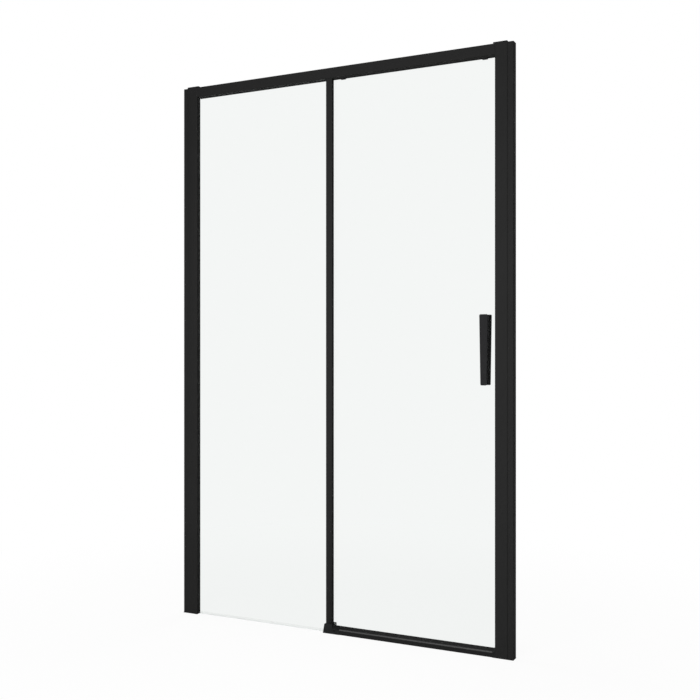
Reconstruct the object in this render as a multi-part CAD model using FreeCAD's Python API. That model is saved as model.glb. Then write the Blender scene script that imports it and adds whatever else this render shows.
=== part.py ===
import FreeCAD, Part
import os
from FreeCAD import Vector

# A framed sliding shower door for an alcove: a fixed pane on the left, and a pane that slides behind it.
# Millimetres. X runs along the door from the left wall to the right wall, +Y points into the shower, +Z up.
# The origin is at the middle of the door's width and depth, on the tray.

# Overall size
WIDTH = 1299.0
HEIGHT = 2000.0

# Panes
PANE = 6.0
PANE_ARRIS = 0.6
FIXED_SETBACK = 8.0
PANE_GAP = 9.0
FIXED_EDGE_OFFSET = 15.1
FIXED_BOTTOM = 3.0
PANE_OVERLAP = 14.0
SLIDING_BOTTOM = 20.0
OPEN_HANDLE_GAP = 23.7

# Wall profiles and posts
LEFT_REVEAL = 18.9
RIGHT_REVEAL = 20.6
LEFT_POST_WIDTH = 44.0
RIGHT_POST_WIDTH = 41.5
LEFT_POST_DEPTH = 24.7
RIGHT_POST_DEPTH = 33.0
POST_WALL = 1.8
POST_ROUND = 1.6
FIXED_POCKET = 14.7
STRIKE_POCKET = 16.0
PROFILE_BASE = 2.0
PROFILE_WALL = 1.6
PROFILE_ROUND = 2.5
PROFILE_PLAY = 0.2
PROFILE_LAP = 18.0
WALL_HOLE_RADIUS = 3.0
WALL_HOLES = 4
WALL_HOLE_END = 100.0
FOOT_PAD = 1.0

# Clamp screws between posts and wall profiles
CLAMP_SCREWS = 3
CLAMP_END = 150.0
CLAMP_RADIUS = 1.9
CLAMP_REACH = 6.5
CLAMP_HEAD_RADIUS = 3.7
CLAMP_HEAD = 2.2
CLAMP_LAP_INSET = 9.0
COVER_WALL = 1.2
COVER_RIM = 0.9
SCREW_PLAY = 0.1

# Top caps
CAP_HEIGHT = 4.5
CAP_OVERHANG = 6.0
CAP_ROUND = 1.2
CAP_EDGE_ROUND = 1.0
CAP_PLUG_DROP = 10.0
CAP_PLUG_PLAY = 0.3
CAP_PLUG_LENGTH = 9.0
CAP_PLUG_INSET = 3.0
CAP_SKIRT = 5.0

# Top rail
RAIL_HEIGHT = 36.0
RAIL_WALL = 1.6
RAIL_LIP = 1.8
RAIL_SLOT = 16.0
RAIL_ROUND = 1.2
SLOT_CHEEK = 1.4
PORT_RADIUS = 3.2
PORT_BORE = 1.7
PORT_SINK = 0.6
LIP_PLAY = 0.4

# Rail brackets and screws
BRACKET = 3.0
BRACKET_DROP = 26.0
RAIL_SCREW_RADIUS = 1.6
RAIL_SCREW_REACH = 22.0
RAIL_SCREW_HEAD_RADIUS = 3.0
RAIL_SCREW_HEAD = 2.0

# Gaskets and the clear strip of the fixed pane
GASKET = 1.2
STRIP_WALL = 1.0
STRIP_RISE = 9.0

# Edge bar
BAR_WIDTH = 25.0
BAR_NOSE = 4.0
BAR_FRONT = 4.5
BAR_BACK = 18.0
BAR_ROUND = 1.2
BAR_FOOT = 6.0
TAPE = 0.6
EAR_WIDTH = 4.5
EAR_DROP = 7.0
EAR_CHAMFER = 4.0
EAR_PLATE = 1.5
BAR_SEAL_BASE = 1.2
BAR_SEAL_WIDTH = 12.0
BAR_FIN = 1.0
SEAL_PLAY = 0.3

# Foot block
BLOCK_OVER_PANE = 31.5
BLOCK_LUG_REACH = 6.0
BLOCK_TOE_REACH = 33.5
BLOCK_HEIGHT = 33.6
BLOCK_TOE_HEIGHT = 18.0
BLOCK_TAPER = 6.0
BLOCK_GROOVE_FLOOR = 6.0
BLOCK_GROOVE_PLAY = 1.5
BLOCK_SLOT_FLOOR = 1.2
BLOCK_PLAY = 0.2
BLOCK_ROUND = 1.5
BLOCK_CORNER_ROUND = 3.5
TONGUE_LENGTH = 20.0
LINER_WALL = 1.2
LINER_TOP = 15.5
LINER_INSET = 1.5
BLOCK_SCREW_REACH = 14.0
BLOCK_SCREW_HEIGHT = 11.5
BLOCK_SCREW_RADIUS = 2.0
BLOCK_SCREW_HEAD_RADIUS = 3.6
BLOCK_SCREW_HEAD = 2.4
BLOCK_RECESS_RADIUS = 4.3
BLOCK_RECESS = 4.0

# Threshold
SILL_SETBACK = 0.8
SILL_DEPTH = 35.2
SILL_FACE = 18.4
SILL_CREST = 27.0
SILL_CREST_WIDTH = 1.6
SILL_GROOVE_FLOOR = 9.0
SILL_LIP = 15.0
SILL_WALL = 1.6
SILL_ROUND = 2.4
SILL_TAPE = 0.5
SILL_TAPE_INSET = 4.0
DRAIN_LENGTH = 24.0
DRAIN_HEIGHT = 3.0
DRAINS = 4
END_CAP = 9.0
END_CAP_PROUD = 0.8

# Strike seal in the right post
STRIKE_BASE = 2.7
STRIKE_PLAY = 0.3
MAGNET = 1.4
MAGNET_WIDTH = 5.0

# Seals on the sliding pane
SEAL_WALL = 0.9
LEADING_NOSE = 3.0
LEADING_WRAP = 9.0
TRAILING_WRAP = 8.0
TRAILING_FIN = 3.4
BOTTOM_DROP = 3.5
BOTTOM_WRAP = 6.0

# Handles
HANDLE_LENGTH = 233.5
HANDLE_TOP_WIDTH = 29.7
HANDLE_BOTTOM_WIDTH = 22.0
HANDLE_DEPTH = 20.0
HANDLE_WAIST = 3.0
HANDLE_ROUND = 4.0
HANDLE_FACE_ROUND = 1.5
HANDLE_SHELL = 2.8
HANDLE_HEIGHT = 1000.5
HANDLE_INSET = 49.8
HANDLE_PAD = 0.5
HANDLE_BOLT_SPACING = 150.0
HANDLE_BOLT_RADIUS = 3.0
HANDLE_BOLT_HEAD_RADIUS = 5.0
HANDLE_BOLT_HEAD = 3.0
HANDLE_BOSS_RADIUS = 7.0
HANDLE_SLEEVE_WALL = 1.5
HANDLE_HOLE_PLAY = 0.3
INSERT_RADIUS = 4.4
INSERT_LENGTH = 10.0
PLUG_HEIGHT = 2.4

# Hangers and wheels
HANGER_INSET = 51.5
SADDLE_WALL = 1.6
SADDLE_PAD = 0.4
SADDLE_WIDTH = 30.0
SADDLE_TIP_WIDTH = 18.0
SADDLE_TIP_DROP = 4.3
SADDLE_SHOULDER = 5.0
SADDLE_FLARE = 0.5
LIFT_PLAY = 1.5
WHEEL_RADIUS = 12.0
WHEEL_WIDTH = 3.8
WHEEL_ROUND = 0.5
WHEEL_SIDE_PLAY = 0.3
WHEEL_TRACK_PLAY = 0.05
BEARING_RADIUS = 5.0
BEARING_RACE = 1.0
BEARING_WIDTH = 3.0
BEARING_PLAY = 0.05
AXLE_RADIUS = 3.0
AXLE_SHOULDER_RADIUS = 3.8
AXLE_PLAY = 0.05
BUSH_RADIUS = 6.9
BUSH_PLAY = 0.1
BUSH_ECCENTRICITY = 1.5
RING_RADIUS = 4.4
RING = 0.6

# Door stops
STOP_LENGTH = 18.0
STOP_HEIGHT = 15.0
STOP_BUFFER = 3.0
STOP_SCREW_RADIUS = 1.6
STOP_SCREW_REACH = 4.5
STOP_SCREW_HEAD_RADIUS = 3.0
STOP_SCREW_HEAD = 1.8

# Shared by all cuts and comparisons
OVERRUN = 1.0
NEAR = 0.01

LEFT, RIGHT = -1, 1
ALONG_X, ALONG_Y, ALONG_Z = Vector(1, 0, 0), Vector(0, 1, 0), Vector(0, 0, 1)

# Planes across the depth, from the front face of the frame
TOTAL_DEPTH = FIXED_SETBACK + PANE + PANE_GAP + PANE + HANDLE_PAD + HANDLE_DEPTH
FRONT = -TOTAL_DEPTH / 2
FIXED_FRONT = FRONT + FIXED_SETBACK
FIXED_BACK = FIXED_FRONT + PANE
SLIDING_FRONT = FIXED_BACK + PANE_GAP
SLIDING_BACK = SLIDING_FRONT + PANE
SLIDING_MIDDLE = (SLIDING_FRONT + SLIDING_BACK) / 2
SADDLE_FRONT = SLIDING_FRONT - SADDLE_PAD - SADDLE_WALL
SADDLE_BACK = SLIDING_BACK + SADDLE_PAD + SADDLE_WALL
TRACK_FRONT = SADDLE_FRONT - WHEEL_SIDE_PLAY - WHEEL_WIDTH - WHEEL_SIDE_PLAY
TRACK_BACK = SADDLE_BACK + WHEEL_SIDE_PLAY + WHEEL_WIDTH + WHEEL_SIDE_PLAY
RAIL_BACK = TRACK_BACK + RAIL_WALL
SLOT_FRONT = FIXED_FRONT - GASKET
SLOT_BACK = FIXED_BACK + GASKET
SEAL_FRONT = SLIDING_FRONT - SEAL_WALL
SEAL_BACK = SLIDING_BACK + SEAL_WALL
GROOVE_FRONT = SEAL_FRONT - BLOCK_GROOVE_PLAY
GROOVE_BACK = SEAL_BACK + BLOCK_GROOVE_PLAY

# Levels above the tray
RAIL_TOP = HEIGHT - CAP_HEIGHT
RAIL_UNDER = RAIL_TOP - RAIL_HEIGHT
TRACK_TOP = RAIL_TOP - RAIL_WALL
LIP_TOP = RAIL_UNDER + RAIL_LIP
AXLE_HEIGHT = LIP_TOP + WHEEL_TRACK_PLAY + WHEEL_RADIUS
BUSH_HEIGHT = AXLE_HEIGHT - BUSH_ECCENTRICITY
SADDLE_TOP = TRACK_TOP - LIFT_PLAY
SLIDING_TOP = SADDLE_TOP - SADDLE_WALL - SADDLE_PAD
SLOT_TOP = RAIL_UNDER + RAIL_SLOT
FIXED_TOP = SLOT_TOP - GASKET


class Side:
    """One wall's profile and post. Distances run from that wall towards the middle of the door."""

    def __init__(self, sign, name, reveal, width, depth, pocket, pocket_front, pocket_back):
        self.sign = sign
        self.name = name
        self.reveal = reveal
        self.width = width
        self.inner = reveal + width
        self.back = FRONT + depth
        self.pocket = pocket
        self.pocket_front = pocket_front
        self.pocket_back = pocket_back
        self.web = self.inner - pocket - POST_WALL
        self.lap_end = reveal + PROFILE_LAP
        self.cavity_front = FRONT + POST_WALL
        self.cavity_back = self.back - POST_WALL
        self.middle = (self.cavity_front + self.cavity_back) / 2

    def x(self, distance):
        """Place along the door at a distance from this wall."""
        return self.sign * (WIDTH / 2 - distance)


LEFT_SIDE = Side(LEFT, "left", LEFT_REVEAL, LEFT_POST_WIDTH, LEFT_POST_DEPTH,
                 FIXED_POCKET, SLOT_FRONT, SLOT_BACK)
RIGHT_SIDE = Side(RIGHT, "right", RIGHT_REVEAL, RIGHT_POST_WIDTH, RIGHT_POST_DEPTH,
                  STRIKE_POCKET, GROOVE_FRONT, FRONT + RIGHT_POST_DEPTH - POST_WALL)
SIDES = (LEFT_SIDE, RIGHT_SIDE)

# Places along the door
RAIL_START = LEFT_SIDE.x(LEFT_SIDE.inner)
RAIL_END = RIGHT_SIDE.x(RIGHT_SIDE.inner)
FIXED_START = LEFT_SIDE.x(LEFT_SIDE.inner - FIXED_POCKET + GASKET)
FIXED_END = -FIXED_EDGE_OFFSET
BAR_END = FIXED_END + BAR_NOSE
BAR_START = BAR_END - BAR_WIDTH
BLOCK_LEFT = FIXED_END - BLOCK_OVER_PANE
LUG_RIGHT = FIXED_END + BLOCK_LUG_REACH
TOE_RIGHT = FIXED_END + BLOCK_TOE_REACH
SLIDING_START = FIXED_END - PANE_OVERLAP
SLIDING_END = RAIL_END + STRIKE_POCKET - STRIKE_BASE - STRIKE_PLAY - LEADING_NOSE
HANGERS = (SLIDING_START + HANGER_INSET, SLIDING_END - HANGER_INSET)
HANDLE_PLACE = SLIDING_END - HANDLE_INSET
DOOR_TRAVEL = HANDLE_PLACE - HANDLE_TOP_WIDTH / 2 - BAR_END - OPEN_HANDLE_GAP
SILL_END = RAIL_END - END_CAP


def block(x, y, z):
    """Box between two places along each axis, in any order."""
    low = Vector(min(x), min(y), min(z))
    return Part.makeBox(abs(x[1] - x[0]), abs(y[1] - y[0]), abs(z[1] - z[0]), low)


def rod(radius, start, axis, length):
    """Cylinder from a start point along an axis; a negative length runs back along it."""
    if length < 0:
        start = start + axis * length
    return Part.makeCylinder(radius, abs(length), start, axis)


def prism(corners, sweep):
    """Straight solid with the given outline, swept along a vector."""
    wire = Part.makePolygon(corners + corners[:1])
    return Part.Face(wire).extrude(sweep)


def drafted(first, last):
    """Solid with straight sides between two outlines of as many points."""
    wires = [Part.makePolygon(points + points[:1]) for points in (first, last)]
    return Part.makeLoft(wires, True, True)


def along_x(outline, x):
    """Extrusion along X of an outline of (y, z) points."""
    return prism([Vector(x[0], y, z) for y, z in outline], ALONG_X * (x[1] - x[0]))


def along_y(outline, y):
    """Extrusion along Y of an outline of (x, z) points."""
    return prism([Vector(x, y[0], z) for x, z in outline], ALONG_Y * (y[1] - y[0]))


def along_z(outline, z):
    """Extrusion along Z of an outline of (x, y) points."""
    return prism([Vector(x, y, z[0]) for x, y in outline], ALONG_Z * (z[1] - z[0]))


def runs_at(edge, axis, spot):
    """Whether a straight edge runs along an axis through a spot; None in the spot means anywhere."""
    ends = (edge.Vertexes[0].Point, edge.Vertexes[-1].Point)
    if abs(abs((ends[1] - ends[0]).dot(axis)) - edge.Length) > NEAR:
        return False
    return all(want is None or abs(have - want) < NEAR
               for end in ends for have, want in zip(end, spot))


def round_edges(shape, radius, axis, spots):
    """Round the straight edges that run along an axis through any of the spots."""
    chosen = [edge for edge in shape.Edges if any(runs_at(edge, axis, spot) for spot in spots)]
    return shape.makeFillet(radius, chosen)


def spread(start, end, count):
    """Evenly spaced places from start to end."""
    return [start + (end - start) * step / (count - 1) for step in range(count)]


def save(name, *solids):
    """Write one node's file."""
    shape = solids[0] if len(solids) == 1 else Part.makeCompound(list(solids))
    shape.exportStep("parts/" + name + ".step")


def wall_profile(side):
    """Channel screwed to the wall; its flanges reach into the post."""
    y = (side.cavity_front + PROFILE_PLAY, side.cavity_back - PROFILE_PLAY)
    z = (FOOT_PAD, RAIL_TOP)
    channel = block((side.x(0), side.x(side.lap_end)), y, z)
    channel = round_edges(channel, PROFILE_ROUND, ALONG_Z, [(side.x(0), edge, None) for edge in y])
    hollow = block((side.x(PROFILE_BASE), side.x(side.lap_end + OVERRUN)),
                   (y[0] + PROFILE_WALL, y[1] - PROFILE_WALL), (z[0] - OVERRUN, z[1] + OVERRUN))
    channel = channel.cut(hollow)
    through = PROFILE_BASE + 2 * OVERRUN
    for height in spread(WALL_HOLE_END, HEIGHT - WALL_HOLE_END, WALL_HOLES):
        start = Vector(side.x(-OVERRUN), side.middle, height)
        channel = channel.cut(rod(WALL_HOLE_RADIUS, start, ALONG_X, -side.sign * through))
    for place in clamp_places(side):
        channel = channel.cut(rod(CLAMP_RADIUS + SCREW_PLAY, place, ALONG_Y, -CLAMP_REACH))
    return channel


def clamp_places(side):
    """Where the clamp screws cross the rear face of a post."""
    x = side.x(side.lap_end - CLAMP_LAP_INSET)
    heights = spread(CLAMP_END, HEIGHT - CLAMP_END, CLAMP_SCREWS)
    return [Vector(x, side.back, height) for height in heights]


def post(side):
    """Hollow post: a channel over the wall profile, and a pocket towards the middle of the door."""
    z = (FOOT_PAD, RAIL_TOP)
    cut_z = (z[0] - OVERRUN, z[1] + OVERRUN)
    body = block((side.x(side.reveal), side.x(side.inner)), (FRONT, side.back), z)
    corners = [(side.x(side.inner), FRONT, None), (side.x(side.inner), side.back, None)]
    body = round_edges(body, POST_ROUND, ALONG_Z, corners)
    cavity_y = (side.cavity_front, side.cavity_back)
    body = body.cut(block((side.x(side.reveal - OVERRUN), side.x(side.web)), cavity_y, cut_z))
    pocket_y = (side.pocket_front, side.pocket_back)
    pocket_x = (side.x(side.inner - side.pocket), side.x(side.inner + OVERRUN))
    body = body.cut(block(pocket_x, pocket_y, cut_z))
    chamber_x = (side.x(side.inner - side.pocket), side.x(side.inner - POST_WALL))
    body = body.cut(block(chamber_x, (side.cavity_front, side.pocket_front - SLOT_CHEEK), cut_z))
    rear_chamber = side.cavity_back - side.pocket_back - SLOT_CHEEK
    if rear_chamber > SLOT_CHEEK:
        chamber_y = (side.pocket_back + SLOT_CHEEK, side.cavity_back)
        body = body.cut(block(chamber_x, chamber_y, cut_z))
    for place in clamp_places(side):
        start = place + ALONG_Y * OVERRUN
        body = body.cut(rod(CLAMP_RADIUS + SCREW_PLAY, start, ALONG_Y, -POST_WALL - 2 * OVERRUN))
    for spot in rail_screw_spots(side):
        start = Vector(side.x(side.web - OVERRUN), *spot)
        reach = -side.sign * (side.inner - side.web + 2 * OVERRUN)
        body = body.cut(rod(RAIL_SCREW_RADIUS + SCREW_PLAY, start, ALONG_X, reach))
    return body


def clamp_screw(place):
    """Pan-head screw from a post's rear wall into the wall profile's flange."""
    head = rod(CLAMP_HEAD_RADIUS, place, ALONG_Y, CLAMP_HEAD)
    shank = rod(CLAMP_RADIUS, place, ALONG_Y, -CLAMP_REACH + SCREW_PLAY)
    return head.fuse(shank)


def clamp_cover(place):
    """Snap cover over a clamp screw's head."""
    radius = CLAMP_HEAD_RADIUS + COVER_RIM + SCREW_PLAY
    shell = rod(radius, place, ALONG_Y, CLAMP_HEAD + SCREW_PLAY + COVER_WALL)
    far = [edge for edge in shell.Edges if edge.BoundBox.YMin > place.y + CLAMP_HEAD]
    shell = shell.makeFillet(COVER_RIM, far)
    return shell.cut(rod(CLAMP_HEAD_RADIUS + SCREW_PLAY, place, ALONG_Y, CLAMP_HEAD + SCREW_PLAY))


def foot_pad(side):
    """Thin pad under a post and its wall profile."""
    return block((side.x(0), side.x(side.inner)), (FRONT, side.back), (0, FOOT_PAD))


def top_cap(side):
    """Cap over a post's top, with a plug in the wall profile and a skirt behind the post."""
    x = (side.x(side.reveal), side.x(side.inner + CAP_OVERHANG))
    y = (FRONT, RAIL_BACK)
    cap = block(x, y, (RAIL_TOP, HEIGHT))
    cap = round_edges(cap, CAP_ROUND, ALONG_Z, [(edge, face, None) for edge in x for face in y])
    top = [edge for edge in cap.Edges if edge.BoundBox.ZMin > HEIGHT - NEAR]
    cap = cap.makeFillet(CAP_EDGE_ROUND, top)
    plug_y = (side.cavity_front + PROFILE_PLAY + PROFILE_WALL + CAP_PLUG_PLAY,
              side.cavity_back - PROFILE_PLAY - PROFILE_WALL - CAP_PLUG_PLAY)
    plug_end = side.lap_end - CAP_PLUG_INSET
    plug_x = (side.x(plug_end), side.x(plug_end - CAP_PLUG_LENGTH))
    cap = cap.fuse(block(plug_x, plug_y, (RAIL_TOP - CAP_PLUG_DROP, RAIL_TOP)))
    skirt_x = (side.x(side.inner), side.x(side.inner - CAP_SKIRT))
    cap = cap.fuse(block(skirt_x, (side.back, RAIL_BACK), (RAIL_UNDER, RAIL_TOP)))
    return cap.removeSplitter()


def rail_screw_spots(side):
    """Where the rail screws cross the end plane of the rail, as (y, z)."""
    sunk = PORT_RADIUS - PORT_SINK
    return [(SLOT_FRONT + PORT_RADIUS, TRACK_TOP - sunk), (SLOT_BACK - sunk, SLOT_TOP + RAIL_WALL + sunk)]


def top_rail():
    """Extruded rail: a slot for the fixed pane in front, and the wheels' track behind."""
    x = (RAIL_START, RAIL_END)
    cut_x = (x[0] - OVERRUN, x[1] + OVERRUN)
    rail = block(x, (FRONT, RAIL_BACK), (RAIL_UNDER, RAIL_TOP))
    corners = [(None, y, z) for y in (FRONT, RAIL_BACK) for z in (RAIL_UNDER, RAIL_TOP)]
    rail = round_edges(rail, RAIL_ROUND, ALONG_X, corners)
    rail = rail.cut(block(cut_x, (TRACK_FRONT, TRACK_BACK), (LIP_TOP, TRACK_TOP)))
    mouth = (SADDLE_FRONT - LIP_PLAY, SADDLE_BACK + LIP_PLAY)
    rail = rail.cut(block(cut_x, mouth, (RAIL_UNDER - OVERRUN, LIP_TOP + OVERRUN)))
    rail = rail.cut(block(cut_x, (SLOT_FRONT, SLOT_BACK), (RAIL_UNDER - OVERRUN, SLOT_TOP)))
    inside = FRONT + RAIL_WALL
    upper = block(cut_x, (inside, SLOT_BACK), (SLOT_TOP + RAIL_WALL, TRACK_TOP))
    lower = block(cut_x, (inside, SLOT_FRONT - SLOT_CHEEK), (LIP_TOP, SLOT_TOP + RAIL_WALL))
    rail = rail.cut(upper.fuse(lower))
    for y, z in rail_screw_spots(LEFT_SIDE):
        rail = rail.fuse(rod(PORT_RADIUS, Vector(x[0], y, z), ALONG_X, x[1] - x[0]))
    for y, z in rail_screw_spots(LEFT_SIDE):
        rail = rail.cut(rod(PORT_BORE, Vector(cut_x[0], y, z), ALONG_X, cut_x[1] - cut_x[0]))
    for screw in stop_screw_places():
        start = screw + ALONG_Y * OVERRUN
        rail = rail.cut(rod(STOP_SCREW_RADIUS + SCREW_PLAY, start, ALONG_Y, -RAIL_WALL - 2 * OVERRUN))
    return rail.removeSplitter()


def rail_bracket(side):
    """Plate inside a post's top that spreads the load of the rail screws over the web."""
    x = (side.x(side.web), side.x(side.web - BRACKET))
    y = (side.cavity_front + PROFILE_PLAY, side.cavity_back - PROFILE_PLAY)
    plate = block(x, y, (RAIL_TOP - BRACKET_DROP, RAIL_TOP))
    for spot in rail_screw_spots(side):
        start = Vector(side.x(side.web - BRACKET - OVERRUN), *spot)
        reach = -side.sign * (BRACKET + 2 * OVERRUN)
        plate = plate.cut(rod(RAIL_SCREW_RADIUS + SCREW_PLAY, start, ALONG_X, reach))
    return plate


def rail_screw(side, spot):
    """Screw from a bracket through the post into one of the rail's ports."""
    start = Vector(side.x(side.web - BRACKET), *spot)
    head = rod(RAIL_SCREW_HEAD_RADIUS, start, ALONG_X, side.sign * RAIL_SCREW_HEAD)
    reach = side.inner - side.web + BRACKET + RAIL_SCREW_REACH
    return head.fuse(rod(RAIL_SCREW_RADIUS, start, ALONG_X, -side.sign * reach))


def arrised(pane, amount):
    """Take the sharp edges off a pane."""
    return pane.makeChamfer(amount, [edge for edge in pane.Edges if edge.Length > PANE + NEAR])


def fixed_pane():
    """The pane held by the left post, the rail, the edge bar and the foot block."""
    pane = block((FIXED_START, FIXED_END), (FIXED_FRONT, FIXED_BACK), (FIXED_BOTTOM, FIXED_TOP))
    return arrised(pane, PANE_ARRIS)


def post_gasket():
    """Channel gasket round the fixed pane's edge in the left post."""
    z = (FOOT_PAD, FIXED_TOP)
    start = LEFT_SIDE.x(LEFT_SIDE.inner - FIXED_POCKET)
    gasket = block((start, RAIL_START), (SLOT_FRONT, SLOT_BACK), z)
    hollow_z = (FIXED_BOTTOM, FIXED_TOP + OVERRUN)
    return gasket.cut(block((FIXED_START, RAIL_START + OVERRUN), (FIXED_FRONT, FIXED_BACK), hollow_z))


def rail_gasket():
    """Channel gasket round the fixed pane's top edge in the rail, stopping at the edge bar's ears."""
    x = (RAIL_START, FIXED_END + BAR_NOSE)
    gasket = block(x, (SLOT_FRONT, SLOT_BACK), (RAIL_UNDER, SLOT_TOP))
    hollow_z = (RAIL_UNDER - OVERRUN, FIXED_TOP)
    return gasket.cut(block((x[0] - OVERRUN, FIXED_END), (FIXED_FRONT, FIXED_BACK), hollow_z))


def bottom_strip():
    """Clear strip round the fixed pane's bottom edge, from the left post to the foot block."""
    y = (FIXED_FRONT - STRIP_WALL, FIXED_BACK + STRIP_WALL)
    strip = block((RAIL_START, BLOCK_LEFT), y, (0, FIXED_BOTTOM + STRIP_RISE))
    hollow_x = (RAIL_START - OVERRUN, BLOCK_LEFT + OVERRUN)
    top = FIXED_BOTTOM + STRIP_RISE + OVERRUN
    return strip.cut(block(hollow_x, (FIXED_FRONT, FIXED_BACK), (FIXED_BOTTOM, top)))


def edge_bar():
    """Channel bonded over the fixed pane's free edge."""
    z = (BAR_FOOT, RAIL_UNDER - EAR_PLATE)
    y = (FRONT + BAR_FRONT, FRONT + BAR_BACK)
    bar = block((BAR_START, BAR_END), y, z)
    corners = [(x, face, None) for x in (BAR_START, BAR_END) for face in y]
    bar = round_edges(bar, BAR_ROUND, ALONG_Z, corners)
    hollow_x = (BAR_START - OVERRUN, FIXED_END + TAPE)
    hollow_y = (FIXED_FRONT - TAPE, FIXED_BACK + TAPE)
    return bar.cut(block(hollow_x, hollow_y, (z[0] - OVERRUN, z[1] + OVERRUN)))


def edge_bar_tape():
    """Bonding tape between the edge bar and the fixed pane."""
    z = (BAR_FOOT, RAIL_UNDER - EAR_PLATE)
    tape = block((BAR_START, FIXED_END + TAPE), (FIXED_FRONT - TAPE, FIXED_BACK + TAPE), z)
    hollow_z = (z[0] - OVERRUN, z[1] + OVERRUN)
    return tape.cut(block((BAR_START - OVERRUN, FIXED_END), (FIXED_FRONT, FIXED_BACK), hollow_z))


def edge_bar_ears():
    """Fork between the bar's top and the rail, with a chamfered ear before and behind the pane."""
    low = RAIL_UNDER - EAR_DROP
    start = BAR_START - EAR_WIDTH
    plate = RAIL_UNDER - EAR_PLATE
    outline = [(start, RAIL_UNDER), (start, low + EAR_CHAMFER), (start + EAR_CHAMFER, low),
               (BAR_START, low), (BAR_START, plate), (BAR_END, plate), (BAR_END, RAIL_UNDER)]
    fork = along_y(outline, (FRONT + BAR_FRONT, FRONT + BAR_BACK))
    slot_x = (start - OVERRUN, FIXED_END + TAPE)
    slot_z = (low - OVERRUN, RAIL_UNDER + OVERRUN)
    return fork.cut(block(slot_x, (FIXED_FRONT - TAPE, FIXED_BACK + TAPE), slot_z))


def edge_bar_seal():
    """Strip on the bar's rear face, with a fin towards the sliding pane; the hangers pass over its top."""
    z = (BLOCK_HEIGHT + SEAL_PLAY, RAIL_UNDER - SADDLE_TIP_DROP - SEAL_PLAY)
    back = FRONT + BAR_BACK
    end = BAR_END - BAR_ROUND
    strip = block((end - BAR_SEAL_WIDTH, end), (back, back + BAR_SEAL_BASE), z)
    fin_x = (end - BAR_SEAL_WIDTH / 2, end - BAR_SEAL_WIDTH / 2 + BAR_FIN)
    return strip.fuse(block(fin_x, (back, SLIDING_FRONT - SEAL_PLAY), z)).removeSplitter()


def foot_block():
    """Moulded block at the bar's foot: it holds the bar and the fixed pane, and guides the sliding pane.

    Its toe carries the threshold's slope and crest on to the bar.
    """
    corner = (BLOCK_LEFT + BLOCK_TAPER, BLOCK_HEIGHT)
    outline = [(BLOCK_LEFT, 0), (TOE_RIGHT, 0), (TOE_RIGHT, BLOCK_TOE_HEIGHT),
               (LUG_RIGHT, BLOCK_TOE_HEIGHT), (LUG_RIGHT, BLOCK_HEIGHT), corner]
    body = along_y(outline, (FRONT, RAIL_BACK))
    body = round_edges(body, BLOCK_CORNER_ROUND, ALONG_Y, [(corner[0], None, corner[1])])
    tops = [edge for edge in body.Edges if edge.BoundBox.ZMin > BLOCK_HEIGHT - NEAR]
    faces = [edge for edge in body.Edges if runs_at(edge, ALONG_Z, (LUG_RIGHT, FRONT, None))]
    body = body.makeFillet(BLOCK_ROUND, tops + faces)
    crest = [(FRONT, BLOCK_TOE_HEIGHT), (GROOVE_FRONT, BLOCK_TOE_HEIGHT), (GROOVE_FRONT, SILL_CREST),
             (sill_crest_front(), SILL_CREST)]
    body = body.fuse(along_x(crest, (LUG_RIGHT - BLOCK_ROUND, TOE_RIGHT)))
    bar_x = (BAR_START - BLOCK_PLAY, BAR_END + BLOCK_PLAY)
    bar_y = (FRONT + BAR_FRONT - BLOCK_PLAY, FRONT + BAR_BACK + BLOCK_PLAY)
    body = body.cut(block(bar_x, bar_y, (BAR_FOOT, BLOCK_HEIGHT + OVERRUN)))
    pane_x = (BLOCK_LEFT - OVERRUN, FIXED_END + BLOCK_PLAY)
    pane_y = (FIXED_FRONT - BLOCK_PLAY, FIXED_BACK + BLOCK_PLAY)
    body = body.cut(block(pane_x, pane_y, (BLOCK_SLOT_FLOOR, BLOCK_HEIGHT + OVERRUN)))
    groove_x = (BLOCK_LEFT - OVERRUN, TOE_RIGHT + OVERRUN)
    groove_z = (BLOCK_GROOVE_FLOOR, BLOCK_HEIGHT + OVERRUN)
    body = body.cut(block(groove_x, (GROOVE_FRONT, GROOVE_BACK), groove_z))
    body = body.fuse(sill_tongue())
    screw = block_screw_place() - ALONG_Y * OVERRUN
    reach = GROOVE_FRONT - FRONT + 2 * OVERRUN
    body = body.cut(rod(BLOCK_SCREW_RADIUS + SCREW_PLAY, screw, ALONG_Y, reach))
    return body.cut(rod(BLOCK_RECESS_RADIUS, screw, ALONG_Y, BLOCK_RECESS + OVERRUN))


def sill_tongue():
    """Tongue of the foot block inside the threshold's front chamber."""
    y = (FRONT + SILL_SETBACK + SILL_WALL + BLOCK_PLAY, sill_crest_front() - BLOCK_PLAY - SILL_WALL)
    z = (SILL_TAPE + SILL_WALL + BLOCK_PLAY, BLOCK_TOE_HEIGHT - SILL_WALL - SILL_ROUND)
    return block((TOE_RIGHT - OVERRUN, TOE_RIGHT + TONGUE_LENGTH), y, z)


def block_screw_place():
    """Where the liner's screw enters the toe's front face."""
    return Vector(FIXED_END + BLOCK_SCREW_REACH, FRONT, BLOCK_SCREW_HEIGHT)


def foot_screw():
    """Screw from the toe's front face into the guide liner."""
    seat = block_screw_place() + ALONG_Y * BLOCK_RECESS
    head = rod(BLOCK_SCREW_HEAD_RADIUS, seat, ALONG_Y, -BLOCK_SCREW_HEAD)
    drive = rod(BLOCK_SCREW_RADIUS, seat - ALONG_Y * BLOCK_SCREW_HEAD, ALONG_Y, BLOCK_SCREW_HEAD / 2)
    reach = SLIDING_MIDDLE - seat.y
    return head.cut(drive).fuse(rod(BLOCK_SCREW_RADIUS, seat, ALONG_Y, reach))


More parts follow.
